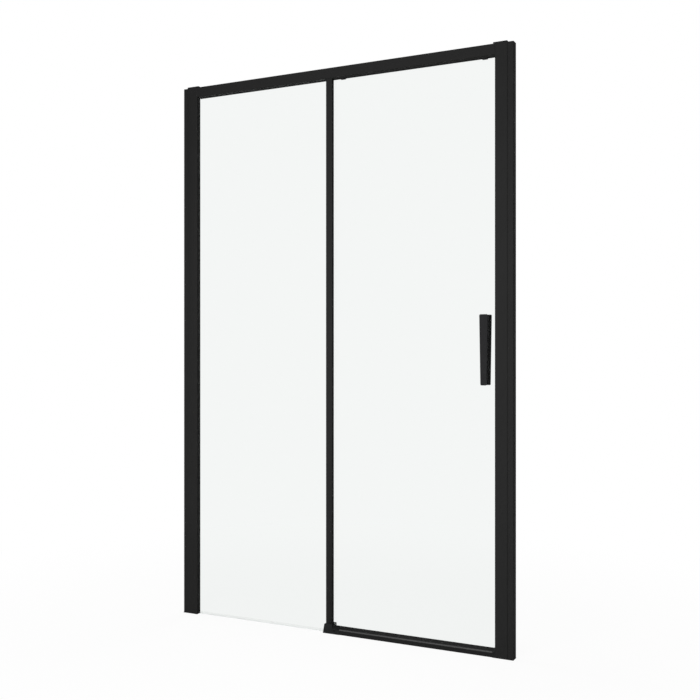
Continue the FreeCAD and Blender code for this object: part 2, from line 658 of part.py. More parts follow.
def guide_liner():
    """Slippery liner in the foot block's groove, with a thick base and two thin cheeks."""
    x = (BLOCK_LEFT + BLOCK_TAPER + LINER_INSET, LUG_RIGHT - LINER_INSET)
    base_x = (x[0], TOE_RIGHT - LINER_INSET)
    y = (GROOVE_FRONT, GROOVE_BACK)
    base = block(base_x, y, (BLOCK_GROOVE_FLOOR, LINER_TOP))
    cheeks = block(x, y, (LINER_TOP, BLOCK_HEIGHT - BLOCK_ROUND))
    inside = (y[0] + LINER_WALL, y[1] - LINER_WALL)
    cheeks = cheeks.cut(block((x[0] - OVERRUN, x[1] + OVERRUN), inside, (LINER_TOP, BLOCK_HEIGHT)))
    liner = base.fuse(cheeks).removeSplitter()
    hole = block_screw_place()
    depth = SLIDING_MIDDLE - hole.y + SCREW_PLAY
    return liner.cut(rod(BLOCK_SCREW_RADIUS + SCREW_PLAY, hole, ALONG_Y, depth))


def sill_crest_front():
    """Front of the threshold's crest."""
    return GROOVE_FRONT - SILL_CREST_WIDTH


def sill_outline(front, rise):
    """Cross-section of the threshold as (y, z): face, slope to the crest, groove and rear lip."""
    back = FRONT + SILL_SETBACK + SILL_DEPTH
    lip = GROOVE_BACK
    return [(front, SILL_TAPE), (back, SILL_TAPE), (back, SILL_LIP + rise), (lip, SILL_LIP + rise),
            (lip, SILL_GROOVE_FLOOR), (GROOVE_FRONT, SILL_GROOVE_FLOOR), (GROOVE_FRONT, SILL_CREST + rise),
            (sill_crest_front(), SILL_CREST + rise), (front, SILL_FACE + rise)]


def threshold():
    """Extruded threshold from the foot block to the end cap."""
    front = FRONT + SILL_SETBACK
    back = front + SILL_DEPTH
    x = (TOE_RIGHT, SILL_END)
    cut_x = (x[0] - OVERRUN, x[1] + OVERRUN)
    sill = along_x(sill_outline(front, 0), x)
    sill = round_edges(sill, SILL_ROUND, ALONG_X, [(None, front, SILL_FACE)])
    floor = SILL_TAPE + SILL_WALL
    crest = sill_crest_front()
    slope = (SILL_CREST - SILL_FACE) / (crest - front)
    inner_front = front + SILL_WALL
    roof = SILL_FACE - SILL_WALL
    crest_roof = roof + slope * (crest - front)
    chamber = [(inner_front, floor), (crest, floor), (crest, crest_roof), (inner_front, roof)]
    sill = sill.cut(along_x(chamber, cut_x))
    rear_y = (crest + SILL_WALL, back - SILL_WALL)
    sill = sill.cut(block(cut_x, rear_y, (floor, SILL_GROOVE_FLOOR - SILL_WALL)))
    for place in spread(x[0], x[1], DRAINS + 2)[1:-1]:
        drain_x = (place - DRAIN_LENGTH / 2, place + DRAIN_LENGTH / 2)
        drain_z = (SILL_GROOVE_FLOOR, SILL_GROOVE_FLOOR + DRAIN_HEIGHT)
        sill = sill.cut(block(drain_x, (GROOVE_BACK - OVERRUN, back + OVERRUN), drain_z))
    return sill


def threshold_tape():
    """Sealing tape between the threshold and the tray."""
    y = (FRONT + SILL_SETBACK + SILL_TAPE_INSET, FRONT + SILL_SETBACK + SILL_DEPTH - SILL_TAPE_INSET)
    return block((TOE_RIGHT, SILL_END), y, (0, SILL_TAPE))


def threshold_end_cap():
    """Cap between the threshold's end and the right post, a little proud of the threshold."""
    outline = sill_outline(FRONT, END_CAP_PROUD)
    outline[0] = (FRONT, 0)
    outline[1] = (RAIL_BACK, 0)
    outline[2] = (RAIL_BACK, SILL_LIP + END_CAP_PROUD)
    cap = along_x(outline, (SILL_END, RAIL_END))
    return round_edges(cap, SILL_ROUND, ALONG_X, [(None, FRONT, SILL_FACE + END_CAP_PROUD)])


def strike_seal():
    """Seal at the bottom of the right post's pocket, with a groove for its magnet."""
    back = RAIL_END + STRIKE_POCKET
    face = back - STRIKE_BASE
    z = (FOOT_PAD, RAIL_UNDER)
    y = (RIGHT_SIDE.pocket_front, RIGHT_SIDE.pocket_back)
    seal = block((face, back), y, z)
    groove_y = (SLIDING_MIDDLE - MAGNET_WIDTH / 2, SLIDING_MIDDLE + MAGNET_WIDTH / 2)
    return seal.cut(block((back - MAGNET, back + OVERRUN), groove_y, (z[0] - OVERRUN, z[1] + OVERRUN)))


def strike_magnet():
    """Magnet strip in the strike seal."""
    back = RAIL_END + STRIKE_POCKET
    y = (SLIDING_MIDDLE - MAGNET_WIDTH / 2, SLIDING_MIDDLE + MAGNET_WIDTH / 2)
    return block((back - MAGNET, back), y, (FOOT_PAD, RAIL_UNDER))


def sliding_pane():
    """The pane that moves, with holes for the eccentric bushes and the handle."""
    pane = block((SLIDING_START, SLIDING_END), (SLIDING_FRONT, SLIDING_BACK), (SLIDING_BOTTOM, SLIDING_TOP))
    pane = arrised(pane, PANE_ARRIS)
    start = SLIDING_FRONT - OVERRUN
    length = PANE + 2 * OVERRUN
    for x in HANGERS:
        pane = pane.cut(rod(BUSH_RADIUS + BUSH_PLAY, Vector(x, start, BUSH_HEIGHT), ALONG_Y, length))
    radius = HANDLE_BOLT_RADIUS + SCREW_PLAY + HANDLE_SLEEVE_WALL + HANDLE_HOLE_PLAY
    for z in handle_bolt_heights():
        pane = pane.cut(rod(radius, Vector(HANDLE_PLACE, start, z), ALONG_Y, length))
    return pane


def upright_seal_levels():
    """Bottom and top of the seals on the sliding pane's upright edges."""
    return (BLOCK_HEIGHT + SEAL_PLAY, RAIL_UNDER - SEAL_PLAY)


def leading_seal():
    """Seal on the pane's leading edge, whose nose holds a magnet."""
    nose = SLIDING_END + LEADING_NOSE
    z = upright_seal_levels()
    cut_z = (z[0] - OVERRUN, z[1] + OVERRUN)
    seal = block((SLIDING_END - LEADING_WRAP, nose), (SEAL_FRONT, SEAL_BACK), z)
    pane_x = (SLIDING_END - LEADING_WRAP - OVERRUN, SLIDING_END)
    seal = seal.cut(block(pane_x, (SLIDING_FRONT, SLIDING_BACK), cut_z))
    y = (SLIDING_MIDDLE - MAGNET_WIDTH / 2, SLIDING_MIDDLE + MAGNET_WIDTH / 2)
    return seal.cut(block((SLIDING_END, SLIDING_END + MAGNET), y, cut_z))


def leading_magnet():
    """Magnet strip in the leading seal's nose."""
    y = (SLIDING_MIDDLE - MAGNET_WIDTH / 2, SLIDING_MIDDLE + MAGNET_WIDTH / 2)
    return block((SLIDING_END, SLIDING_END + MAGNET), y, upright_seal_levels())


def trailing_seal():
    """Seal on the pane's trailing edge, with a fin towards the edge bar."""
    z = upright_seal_levels()
    seal = block((SLIDING_START - SEAL_WALL, SLIDING_START + TRAILING_WRAP), (SEAL_FRONT, SEAL_BACK), z)
    pane_x = (SLIDING_START, SLIDING_START + TRAILING_WRAP + OVERRUN)
    seal = seal.cut(block(pane_x, (SLIDING_FRONT, SLIDING_BACK), (z[0] - OVERRUN, z[1] + OVERRUN)))
    fin_y = (SLIDING_FRONT - TRAILING_FIN, SLIDING_FRONT)
    fin = block((SLIDING_START - SEAL_WALL, SLIDING_START), fin_y, z)
    return seal.fuse(fin).removeSplitter()


def bottom_seal():
    """Seal round the sliding pane's bottom edge; it runs in the guide liner and the threshold's groove."""
    low = SLIDING_BOTTOM - BOTTOM_DROP
    x = (SLIDING_START, SLIDING_END)
    seal = block(x, (SEAL_FRONT, SEAL_BACK), (low, SLIDING_BOTTOM + BOTTOM_WRAP))
    cut_x = (x[0] - OVERRUN, x[1] + OVERRUN)
    top = SLIDING_BOTTOM + BOTTOM_WRAP + OVERRUN
    seal = seal.cut(block(cut_x, (SLIDING_FRONT, SLIDING_BACK), (SLIDING_BOTTOM, top)))
    hollow_y = (SLIDING_FRONT, SLIDING_BACK)
    return seal.cut(block(cut_x, hollow_y, (low + SEAL_WALL, SLIDING_BOTTOM - SEAL_WALL)))


def handle_bolt_heights():
    """Heights of the two handle bolts."""
    half = HANDLE_BOLT_SPACING / 2
    return (HANDLE_HEIGHT - half, HANDLE_HEIGHT + half)


def handle_outline(inset, y):
    """Tapered outline of a handle on a plane across Y, drawn in by an inset."""
    low = HANDLE_HEIGHT - HANDLE_LENGTH / 2 + inset
    high = HANDLE_HEIGHT + HANDLE_LENGTH / 2 - inset
    bottom = HANDLE_BOTTOM_WIDTH / 2 - inset
    top = HANDLE_TOP_WIDTH / 2 - inset
    return [Vector(HANDLE_PLACE - bottom, y, low), Vector(HANDLE_PLACE + bottom, y, low),
            Vector(HANDLE_PLACE + top, y, high), Vector(HANDLE_PLACE - top, y, high)]


def handle_shell(seat, out):
    """Tapered grip that narrows towards the glass: a shell with two bosses. Out is +1 or -1 along Y."""
    face = seat + out * HANDLE_DEPTH
    shell = drafted(handle_outline(HANDLE_WAIST, seat), handle_outline(0, face))
    corners = [edge for edge in shell.Edges if edge.BoundBox.YMax - edge.BoundBox.YMin > HANDLE_DEPTH / 2]
    shell = shell.makeFillet(HANDLE_ROUND, corners)
    rim = [edge for edge in shell.Edges if all(abs(end.Point.y - face) < NEAR for end in edge.Vertexes)]
    shell = shell.makeFillet(HANDLE_FACE_ROUND, rim)
    hollow = drafted(handle_outline(HANDLE_WAIST + HANDLE_SHELL, seat - out * OVERRUN),
                     handle_outline(HANDLE_SHELL, face - out * HANDLE_SHELL))
    for z in handle_bolt_heights():
        start = Vector(HANDLE_PLACE, seat - out * OVERRUN, z)
        hollow = hollow.cut(rod(HANDLE_BOSS_RADIUS, start, ALONG_Y, out * (HANDLE_DEPTH + OVERRUN)))
    return shell.cut(hollow)


def outer_handle():
    """Handle outside the shower, with blind seats for the threaded inserts."""
    seat = SLIDING_FRONT - HANDLE_PAD
    handle = handle_shell(seat, -1)
    for z in handle_bolt_heights():
        start = Vector(HANDLE_PLACE, seat + OVERRUN, z)
        handle = handle.cut(rod(INSERT_RADIUS, start, ALONG_Y, -INSERT_LENGTH - OVERRUN))
    return handle


def inner_handle():
    """Handle inside the shower, bored for the bolts, whose heads sit in counterbores."""
    seat = SLIDING_BACK + HANDLE_PAD
    handle = handle_shell(seat, 1)
    through = HANDLE_DEPTH + 2 * OVERRUN
    for z in handle_bolt_heights():
        start = Vector(HANDLE_PLACE, seat - OVERRUN, z)
        handle = handle.cut(rod(HANDLE_BOLT_RADIUS + SCREW_PLAY, start, ALONG_Y, through))
        counterbore = Vector(HANDLE_PLACE, bolt_head_seat(), z)
        handle = handle.cut(rod(HANDLE_BOLT_HEAD_RADIUS + SCREW_PLAY, counterbore, ALONG_Y, HANDLE_DEPTH))
    return handle


def bolt_head_seat():
    """Plane on which the handle bolts' heads bear."""
    return SLIDING_BACK + HANDLE_PAD + HANDLE_DEPTH - PLUG_HEIGHT - HANDLE_BOLT_HEAD


def handle_bolt(z):
    """Socket-head bolt from the inner handle into the outer handle's insert."""
    seat = Vector(HANDLE_PLACE, bolt_head_seat(), z)
    head = rod(HANDLE_BOLT_HEAD_RADIUS, seat, ALONG_Y, HANDLE_BOLT_HEAD)
    tip = SLIDING_FRONT - HANDLE_PAD - INSERT_LENGTH + SCREW_PLAY
    shank = rod(HANDLE_BOLT_RADIUS, Vector(HANDLE_PLACE, tip, z), ALONG_Y, seat.y - tip)
    return head.fuse(shank)


def handle_insert(z):
    """Threaded insert in the outer handle."""
    start = Vector(HANDLE_PLACE, SLIDING_FRONT - HANDLE_PAD, z)
    insert = rod(INSERT_RADIUS, start, ALONG_Y, -INSERT_LENGTH)
    return insert.cut(rod(HANDLE_BOLT_RADIUS + SCREW_PLAY / 2, start, ALONG_Y, -INSERT_LENGTH))


def handle_sleeve(z):
    """Plastic sleeve that keeps a handle bolt off the glass."""
    start = Vector(HANDLE_PLACE, SLIDING_FRONT, z)
    bore = HANDLE_BOLT_RADIUS + SCREW_PLAY
    return rod(bore + HANDLE_SLEEVE_WALL, start, ALONG_Y, PANE).cut(rod(bore, start, ALONG_Y, PANE))


def handle_plug(z):
    """Round plug over a bolt's head in the inner handle."""
    start = Vector(HANDLE_PLACE, bolt_head_seat() + HANDLE_BOLT_HEAD, z)
    return rod(HANDLE_BOLT_HEAD_RADIUS, start, ALONG_Y, PLUG_HEIGHT)


def handle_pad(y):
    """Thin pad between a handle and the glass."""
    pad = prism(handle_outline(HANDLE_WAIST, y), ALONG_Y * HANDLE_PAD)
    for z in handle_bolt_heights():
        hole = rod(HANDLE_BOLT_RADIUS + SCREW_PLAY, Vector(HANDLE_PLACE, y, z), ALONG_Y, HANDLE_PAD)
        pad = pad.cut(hole)
    return pad


def saddle(x):
    """Folded hanger over the pane's top edge; its two tips show just under the rail."""
    half, tip = SADDLE_WIDTH / 2, SADDLE_TIP_WIDTH / 2
    shoulder = LIP_TOP + SADDLE_SHOULDER
    low = RAIL_UNDER - SADDLE_TIP_DROP
    outline = [(x - half, SADDLE_TOP), (x - half, shoulder), (x - tip - SADDLE_FLARE, RAIL_UNDER),
               (x - tip, low), (x + tip, low), (x + tip + SADDLE_FLARE, RAIL_UNDER),
               (x + half, shoulder), (x + half, SADDLE_TOP)]
    body = along_y(outline, (SADDLE_FRONT, SADDLE_BACK))
    inside = (SADDLE_FRONT + SADDLE_WALL, SADDLE_BACK - SADDLE_WALL)
    cut_x = (x - half - OVERRUN, x + half + OVERRUN)
    body = body.cut(block(cut_x, inside, (low - OVERRUN, SADDLE_TOP - SADDLE_WALL)))
    start = Vector(x, SADDLE_FRONT - OVERRUN, AXLE_HEIGHT)
    length = SADDLE_BACK - SADDLE_FRONT + 2 * OVERRUN
    return body.cut(rod(AXLE_SHOULDER_RADIUS + AXLE_PLAY, start, ALONG_Y, length))


def saddle_pad(x):
    """Thin liner between a saddle and the pane, over the pane's top edge."""
    half = SADDLE_WIDTH / 2
    y = (SLIDING_FRONT - SADDLE_PAD, SLIDING_BACK + SADDLE_PAD)
    low = LIP_TOP + SADDLE_SHOULDER
    pad = block((x - half, x + half), y, (low, SLIDING_TOP + SADDLE_PAD))
    inside = (x - half - OVERRUN, x + half + OVERRUN)
    pad = pad.cut(block(inside, (SLIDING_FRONT, SLIDING_BACK), (low - OVERRUN, SLIDING_TOP)))
    hole = Vector(x, y[0] - OVERRUN, AXLE_HEIGHT)
    return pad.cut(rod(AXLE_SHOULDER_RADIUS + AXLE_PLAY, hole, ALONG_Y, y[1] - y[0] + 2 * OVERRUN))


def eccentric_bush(x):
    """Bush in the pane's hole; its bore is off centre, so turning it sets the pane's height."""
    start = Vector(x, SLIDING_FRONT, BUSH_HEIGHT)
    bush = rod(BUSH_RADIUS, start, ALONG_Y, PANE)
    bore = Vector(x, SLIDING_FRONT - OVERRUN, AXLE_HEIGHT)
    return bush.cut(rod(AXLE_SHOULDER_RADIUS + AXLE_PLAY, bore, ALONG_Y, PANE + 2 * OVERRUN))


def axle(x):
    """Stepped axle through a saddle and its bush; a wheel turns on each end."""
    front, back = wheel_seat(x, -1), wheel_seat(x, 1)
    middle = rod(AXLE_SHOULDER_RADIUS, front, ALONG_Y, back.y - front.y)
    reach = BEARING_WIDTH + RING
    ends = rod(AXLE_RADIUS, front - ALONG_Y * reach, ALONG_Y, back.y - front.y + 2 * reach)
    return middle.fuse(ends)


def wheel_seat(x, out):
    """Point on the axle at a wheel's inner face. Out is -1 for the front wheels, +1 for the rear ones."""
    y = SADDLE_FRONT - WHEEL_SIDE_PLAY if out < 0 else SADDLE_BACK + WHEEL_SIDE_PLAY
    return Vector(x, y, AXLE_HEIGHT)


def wheel(x, out):
    """Moulded wheel that runs on one of the rail's lips."""
    seat = wheel_seat(x, out)
    tyre = rod(WHEEL_RADIUS, seat, ALONG_Y, out * WHEEL_WIDTH)
    tyre = tyre.makeFillet(WHEEL_ROUND, [edge for edge in tyre.Edges if edge.Length > WHEEL_RADIUS])
    return tyre.cut(rod(BEARING_RADIUS, seat, ALONG_Y, out * WHEEL_WIDTH))


def bearing_outer(x, out):
    """Outer ring of a wheel's bearing."""
    seat = wheel_seat(x, out)
    ring = rod(BEARING_RADIUS, seat, ALONG_Y, out * BEARING_WIDTH)
    bore = AXLE_RADIUS + BEARING_RACE + BEARING_PLAY
    return ring.cut(rod(bore, seat, ALONG_Y, out * BEARING_WIDTH))


def bearing_inner(x, out):
    """Inner ring of a wheel's bearing, fixed on the axle."""
    seat = wheel_seat(x, out)
    ring = rod(AXLE_RADIUS + BEARING_RACE, seat, ALONG_Y, out * BEARING_WIDTH)
    return ring.cut(rod(AXLE_RADIUS, seat, ALONG_Y, out * BEARING_WIDTH))


def retaining_ring(x, out):
    """Ring that keeps a wheel on its axle."""
    seat = wheel_seat(x, out) + ALONG_Y * (out * BEARING_WIDTH)
    ring = rod(RING_RADIUS, seat, ALONG_Y, out * RING)
    return ring.cut(rod(AXLE_RADIUS, seat, ALONG_Y, out * RING))


def stop_faces():
    """Faces of the two stops that the rear leg of a saddle meets, and which way each stop extends."""
    half = SADDLE_WIDTH / 2
    return ((HANGERS[0] - DOOR_TRAVEL - half - SEAL_PLAY, -1), (HANGERS[1] + half + SEAL_PLAY, 1))


def stop_depth():
    """Front and back of the stops, clear of the pane."""
    return (SLIDING_BACK + SADDLE_PAD, TRACK_BACK)


def stop_screw_places():
    """Where the stops' screws cross the rail's rear face."""
    height = LIP_TOP + STOP_HEIGHT / 2
    inset = STOP_BUFFER + STOP_LENGTH / 2
    return [Vector(face + way * inset, RAIL_BACK, height) for face, way in stop_faces()]


def door_stop(face, way, screw):
    """Block on the rear lip that carries a buffer."""
    start = face + way * STOP_BUFFER
    body = block((start, start + way * STOP_LENGTH), stop_depth(), (LIP_TOP, LIP_TOP + STOP_HEIGHT))
    hole = rod(STOP_SCREW_RADIUS + SCREW_PLAY, screw, ALONG_Y, -RAIL_WALL - STOP_SCREW_REACH)
    return body.cut(hole)


def stop_buffer(face, way):
    """Rubber buffer on a door stop."""
    return block((face, face + way * STOP_BUFFER), stop_depth(), (LIP_TOP, LIP_TOP + STOP_HEIGHT))


def stop_screw(place):
    """Screw through the rail's rear wall into a door stop."""
    head = rod(STOP_SCREW_HEAD_RADIUS, place, ALONG_Y, STOP_SCREW_HEAD)
    return head.fuse(rod(STOP_SCREW_RADIUS, place, ALONG_Y, -RAIL_WALL - STOP_SCREW_REACH + SCREW_PLAY))


def build_frame():
    """Everything that stays still."""
    for side in SIDES:
        save("wall_profile_" + side.name, wall_profile(side))
        save("post_" + side.name, post(side))
        save("top_cap_" + side.name, top_cap(side))
        save("rail_bracket_" + side.name, rail_bracket(side))
    save("foot_pads", *[foot_pad(side) for side in SIDES])
    clamps = [place for side in SIDES for place in clamp_places(side)]
    save("clamp_screws", *[clamp_screw(place) for place in clamps])
    save("clamp_covers", *[clamp_cover(place) for place in clamps])
    save("rail_screws", *[rail_screw(side, spot) for side in SIDES for spot in rail_screw_spots(side)])
    save("top_rail", top_rail())
    save("fixed_pane", fixed_pane())
    save("post_gasket", post_gasket())
    save("rail_gasket", rail_gasket())
    save("bottom_strip", bottom_strip())
    save("edge_bar", edge_bar())
    save("edge_bar_tape", edge_bar_tape())
    save("edge_bar_ears", edge_bar_ears())
    save("edge_bar_seal", edge_bar_seal())
    save("foot_block", foot_block())
    save("foot_screw", foot_screw())
    save("guide_liner", guide_liner())
    save("threshold", threshold())
    save("threshold_tape", threshold_tape())
    save("threshold_end_cap", threshold_end_cap())
    save("strike_seal", strike_seal())
    save("strike_magnet", strike_magnet())
    screws = stop_screw_places()
    save("door_stops", *[door_stop(face, way, screw) for (face, way), screw in zip(stop_faces(), screws)])
    save("stop_buffers", *[stop_buffer(face, way) for face, way in stop_faces()])
    save("stop_screws", *[stop_screw(place) for place in screws])


def build_door():
    """Everything that slides with the pane."""
    save("sliding_pane", sliding_pane())
    save("leading_seal", leading_seal())
    save("leading_magnet", leading_magnet())
    save("trailing_seal", trailing_seal())
    save("bottom_seal", bottom_seal())
    save("outer_handle", outer_handle())
    save("inner_handle", inner_handle())
    heights = handle_bolt_heights()
    save("handle_bolts", *[handle_bolt(z) for z in heights])
    save("handle_inserts", *[handle_insert(z) for z in heights])
    save("handle_sleeves", *[handle_sleeve(z) for z in heights])
    save("handle_plugs", *[handle_plug(z) for z in heights])
    save("handle_pads", handle_pad(SLIDING_FRONT - HANDLE_PAD), handle_pad(SLIDING_BACK))
    for name, x in zip(("left", "right"), HANGERS):
        save("hanger_saddle_" + name, saddle(x))
    save("saddle_pads", *[saddle_pad(x) for x in HANGERS])
    save("eccentric_bushes", *[eccentric_bush(x) for x in HANGERS])
    save("hanger_axles", *[axle(x) for x in HANGERS])
    ends = [(x, out) for x in HANGERS for out in (-1, 1)]
    save("bearing_inner_rings", *[bearing_inner(x, out) for x, out in ends])
    save("retaining_rings", *[retaining_ring(x, out) for x, out in ends])


def build_wheels():
    """The four wheels, each with its bearing's outer ring."""
    for side, x in zip(("left", "right"), HANGERS):
        for place, out in (("front", -1), ("rear", 1)):
            name = side + "_" + place
            save("wheel_" + name, wheel(x, out))
            save("bearing_" + name, bearing_outer(x, out))


os.makedirs("parts", exist_ok=True)
build_frame()
build_door()
build_wheels()
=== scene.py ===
import logging
import math
from dataclasses import dataclass
from enum import Enum
from typing import Callable, Optional, Sequence, Union

import bmesh
import bpy
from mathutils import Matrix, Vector


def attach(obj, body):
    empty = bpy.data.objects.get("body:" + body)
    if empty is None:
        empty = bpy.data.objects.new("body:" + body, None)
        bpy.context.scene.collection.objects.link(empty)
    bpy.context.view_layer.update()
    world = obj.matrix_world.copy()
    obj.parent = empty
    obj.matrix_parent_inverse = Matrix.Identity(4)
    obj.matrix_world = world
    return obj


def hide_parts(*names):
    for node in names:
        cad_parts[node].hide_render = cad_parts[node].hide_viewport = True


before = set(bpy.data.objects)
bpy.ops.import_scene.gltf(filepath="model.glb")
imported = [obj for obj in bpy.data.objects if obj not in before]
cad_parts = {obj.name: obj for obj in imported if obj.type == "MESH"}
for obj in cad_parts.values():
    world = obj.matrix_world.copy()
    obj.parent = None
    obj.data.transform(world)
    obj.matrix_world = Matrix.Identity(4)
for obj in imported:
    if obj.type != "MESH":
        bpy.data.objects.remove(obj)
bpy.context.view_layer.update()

# A framed sliding shower door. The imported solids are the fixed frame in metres: X along the door, +Y into
# the shower, +Z up. Pieces whose real form is finer than their solid are modelled here, on the same bodies.

LOG = logging.getLogger("shower_door")
MM = 0.001
NEAR = 0.01 * MM
MERGE = 0.001 * MM
# A face looks one way where its normal's share along that way is more than this.
FACING = 0.99
# Turn that lays a primitive's own Z along Y.
TURN_TO_Y = (math.pi / 2, 0.0, 0.0)
WHITE = "#ffffff"

Point = Sequence[float]
Span = tuple[float, float]
Chain = Sequence[Span]
Test = Callable[[Vector, Vector], bool]
Tree = bpy.types.NodeTree
Socket = bpy.types.NodeSocket
Colour = tuple[float, float, float, float]
Given = dict[Union[str, int], object]
Tones = tuple[str, str]


class Slot(Enum):
    """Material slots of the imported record."""

    COAT = "black_powder_coat"
    MOULDING = "black_moulding"
    HANDLE = "handle_coat"
    GLASS = "clear_glass"
    CLEAR_SEAL = "clear_seal"
    DARK_SEAL = "dark_seal"
    TAPE = "bonding_tape"
    FERRITE = "ferrite"
    STEEL = "stainless"
    BLACK_STEEL = "black_steel"
    BRASS = "brass_insert"
    ACETAL = "acetal"


class Body(Enum):
    """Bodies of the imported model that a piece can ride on."""

    FRAME = "frame"
    DOOR = "door"
    LEFT_FRONT = "left_front_wheel"
    LEFT_REAR = "left_rear_wheel"
    RIGHT_FRONT = "right_front_wheel"
    RIGHT_REAR = "right_rear_wheel"


class Axis(Enum):
    """The three directions, by their places in a vector."""

    X = 0
    Y = 1
    Z = 2

    @property
    def vector(self) -> Vector:
        """Unit vector along this direction."""
        return Vector([float(place == self.value) for place in range(3)])


class Part(Enum):
    """What a selection in edit mode is made of."""

    CORNERS = "VERT"
    EDGES = "EDGE"
    FACES = "FACE"


def linear(colour: str) -> Colour:
    """Turn an sRGB colour into the linear values that Blender's sockets take.

    Args:
        colour: The colour as a hex string.

    Returns:
        Its linear red, green, blue and full alpha.
    """
    shares = [int(colour[start:start + 2], 16) / 255 for start in (1, 3, 5)]
    red, green, blue = [s / 12.92 if s <= 0.04045 else ((s + 0.055) / 1.055) ** 2.4 for s in shares]
    return red, green, blue, 1.0


def per_metre(size: float) -> float:
    """Scale of a pattern whose features are a size in metres apart."""
    return 1.0 / size


def add_node(tree: Tree, kind: str, given: Optional[Given] = None) -> bpy.types.Node:
    """Add one shader node.

    Args:
        tree: Node tree that takes the node.
        kind: Blender's name for the type of node, without the ShaderNode that it starts with.
        given: Values by the name of a property, or by the name or number of an input. A socket is linked,
            and None leaves an input as it is.

    Returns:
        The new node.
    """
    node = tree.nodes.new("ShaderNode" + kind)
    for name, value in (given or {}).items():
        if isinstance(value, Socket):
            tree.links.new(value, node.inputs[name])
        elif isinstance(name, int) or name in node.inputs:
            if value is not None:
                node.inputs[name].default_value = value
        else:
            setattr(node, name, value)
    return node


def clear_tree(owner: Union[bpy.types.Material, bpy.types.World]) -> Tree:
    """Give a material or the world its node tree, without the nodes that it starts with.

    Args:
        owner: The material or the world.

    Returns:
        The empty tree.
    """
    owner.use_nodes = True
    owner.node_tree.nodes.clear()
    return owner.node_tree


def worked(tree: Tree, operation: str, *terms: Union[Socket, float]) -> Socket:
    """Work one math operation on sockets and numbers."""
    return add_node(tree, "Math", {"operation": operation, **dict(enumerate(terms))}).outputs[0]


@dataclass(frozen=True)
class Shading:
    """Node tree of one material with its object coordinates, and the steps that the finishes share."""

    tree: Tree
    place: Socket

    def along(self, run: Axis, pull: float) -> Socket:
        """Coordinates in which a pattern is drawn out along one direction."""
        stretch = [pull if axis is run else 1.0 for axis in Axis]
        return add_node(self.tree, "Mapping", {"Scale": stretch, "Vector": self.place}).outputs["Vector"]

    def noise(self, size: float, detail: float, place: Optional[Socket] = None) -> Socket:
        """Noise whose features are a size in metres."""
        given = {"Scale": per_metre(size), "Detail": detail, "Vector": place or self.place}
        return add_node(self.tree, "TexNoise", given).outputs["Fac"]

    def cells(self, size: float, **softness: Union[str, float]) -> Socket:
        """Distance from the middle of each cell, where cells are a size in metres."""
        given = {**softness, "Scale": per_metre(size), "Vector": self.place}
        return add_node(self.tree, "TexVoronoi", given).outputs["Distance"]

    def between(self, first: Socket, second: Socket, share: float) -> Socket:
        """Mix two patterns."""
        return add_node(self.tree, "Mix", {0: share, 2: first, 3: second}).outputs[0]

    def tone(self, first: Union[Socket, Colour], second: Colour, share: Socket) -> Socket:
        """Mix two colours."""
        return add_node(self.tree, "Mix", {"data_type": "RGBA", 0: share, 6: first, 7: second}).outputs[2]

    def spread(self, value: Socket, to: Span, ends: Span = (0.0, 1.0), kind: str = "LINEAR") -> Socket:
        """Spread what lies between two ends over a span of values."""
        given = {"interpolation_type": kind, **dict(enumerate((value, *ends, *to)))}
        return add_node(self.tree, "MapRange", given).outputs["Result"]

    def bent(self, height: Socket, relief: Span, under: Optional[Socket] = None) -> Socket:
        """Normal bent by a pattern, over another relief where there is one."""
        given = {"Height": height, "Strength": relief[0], "Distance": relief[1], "Normal": under}
        return add_node(self.tree, "Bump", given).outputs["Normal"]

    def see_through(self, surface: Socket, tint: str, share: float = 0.0) -> Socket:
        """Let lamplight, and a share of all other rays, go straight through a surface.

        Args:
            surface: Shader that the rest of the rays meet.
            tint: Tint of each crossing.
            share: The share that goes straight through.

        Returns:
            The shader socket.
        """
        clear = add_node(self.tree, "BsdfTransparent", {"Color": linear(tint)}).outputs[0]
        lamplight = add_node(self.tree, "LightPath").outputs["Is Shadow Ray"]
        through = worked(self.tree, "MAXIMUM", lamplight, share)
        return add_node(self.tree, "MixShader", {0: through, 1: surface, 2: clear}).outputs[0]


@dataclass(frozen=True)
class Finish:
    """A finish on one of the record's slots. A relief is its strength and its depth."""

    name: str
    slot: Slot

    def material(self) -> bpy.types.Material:
        """Make the material, or return the one made before.

        Returns:
            The procedural material of this finish.
        """
        known = bpy.data.materials.get(self.name)
        if known is not None:
            return known
        material = bpy.data.materials.new(self.name)
        tree = clear_tree(material)
        place = add_node(tree, "TexCoord").outputs["Object"]
        add_node(tree, "OutputMaterial", {"Surface": self.surface(Shading(tree, place))})
        return material

    def surface(self, shading: Shading) -> Socket:
        """Build the surface.

        Args:
            shading: Where its nodes go.

        Returns:
            The shader socket.
        """
        raise NotImplementedError


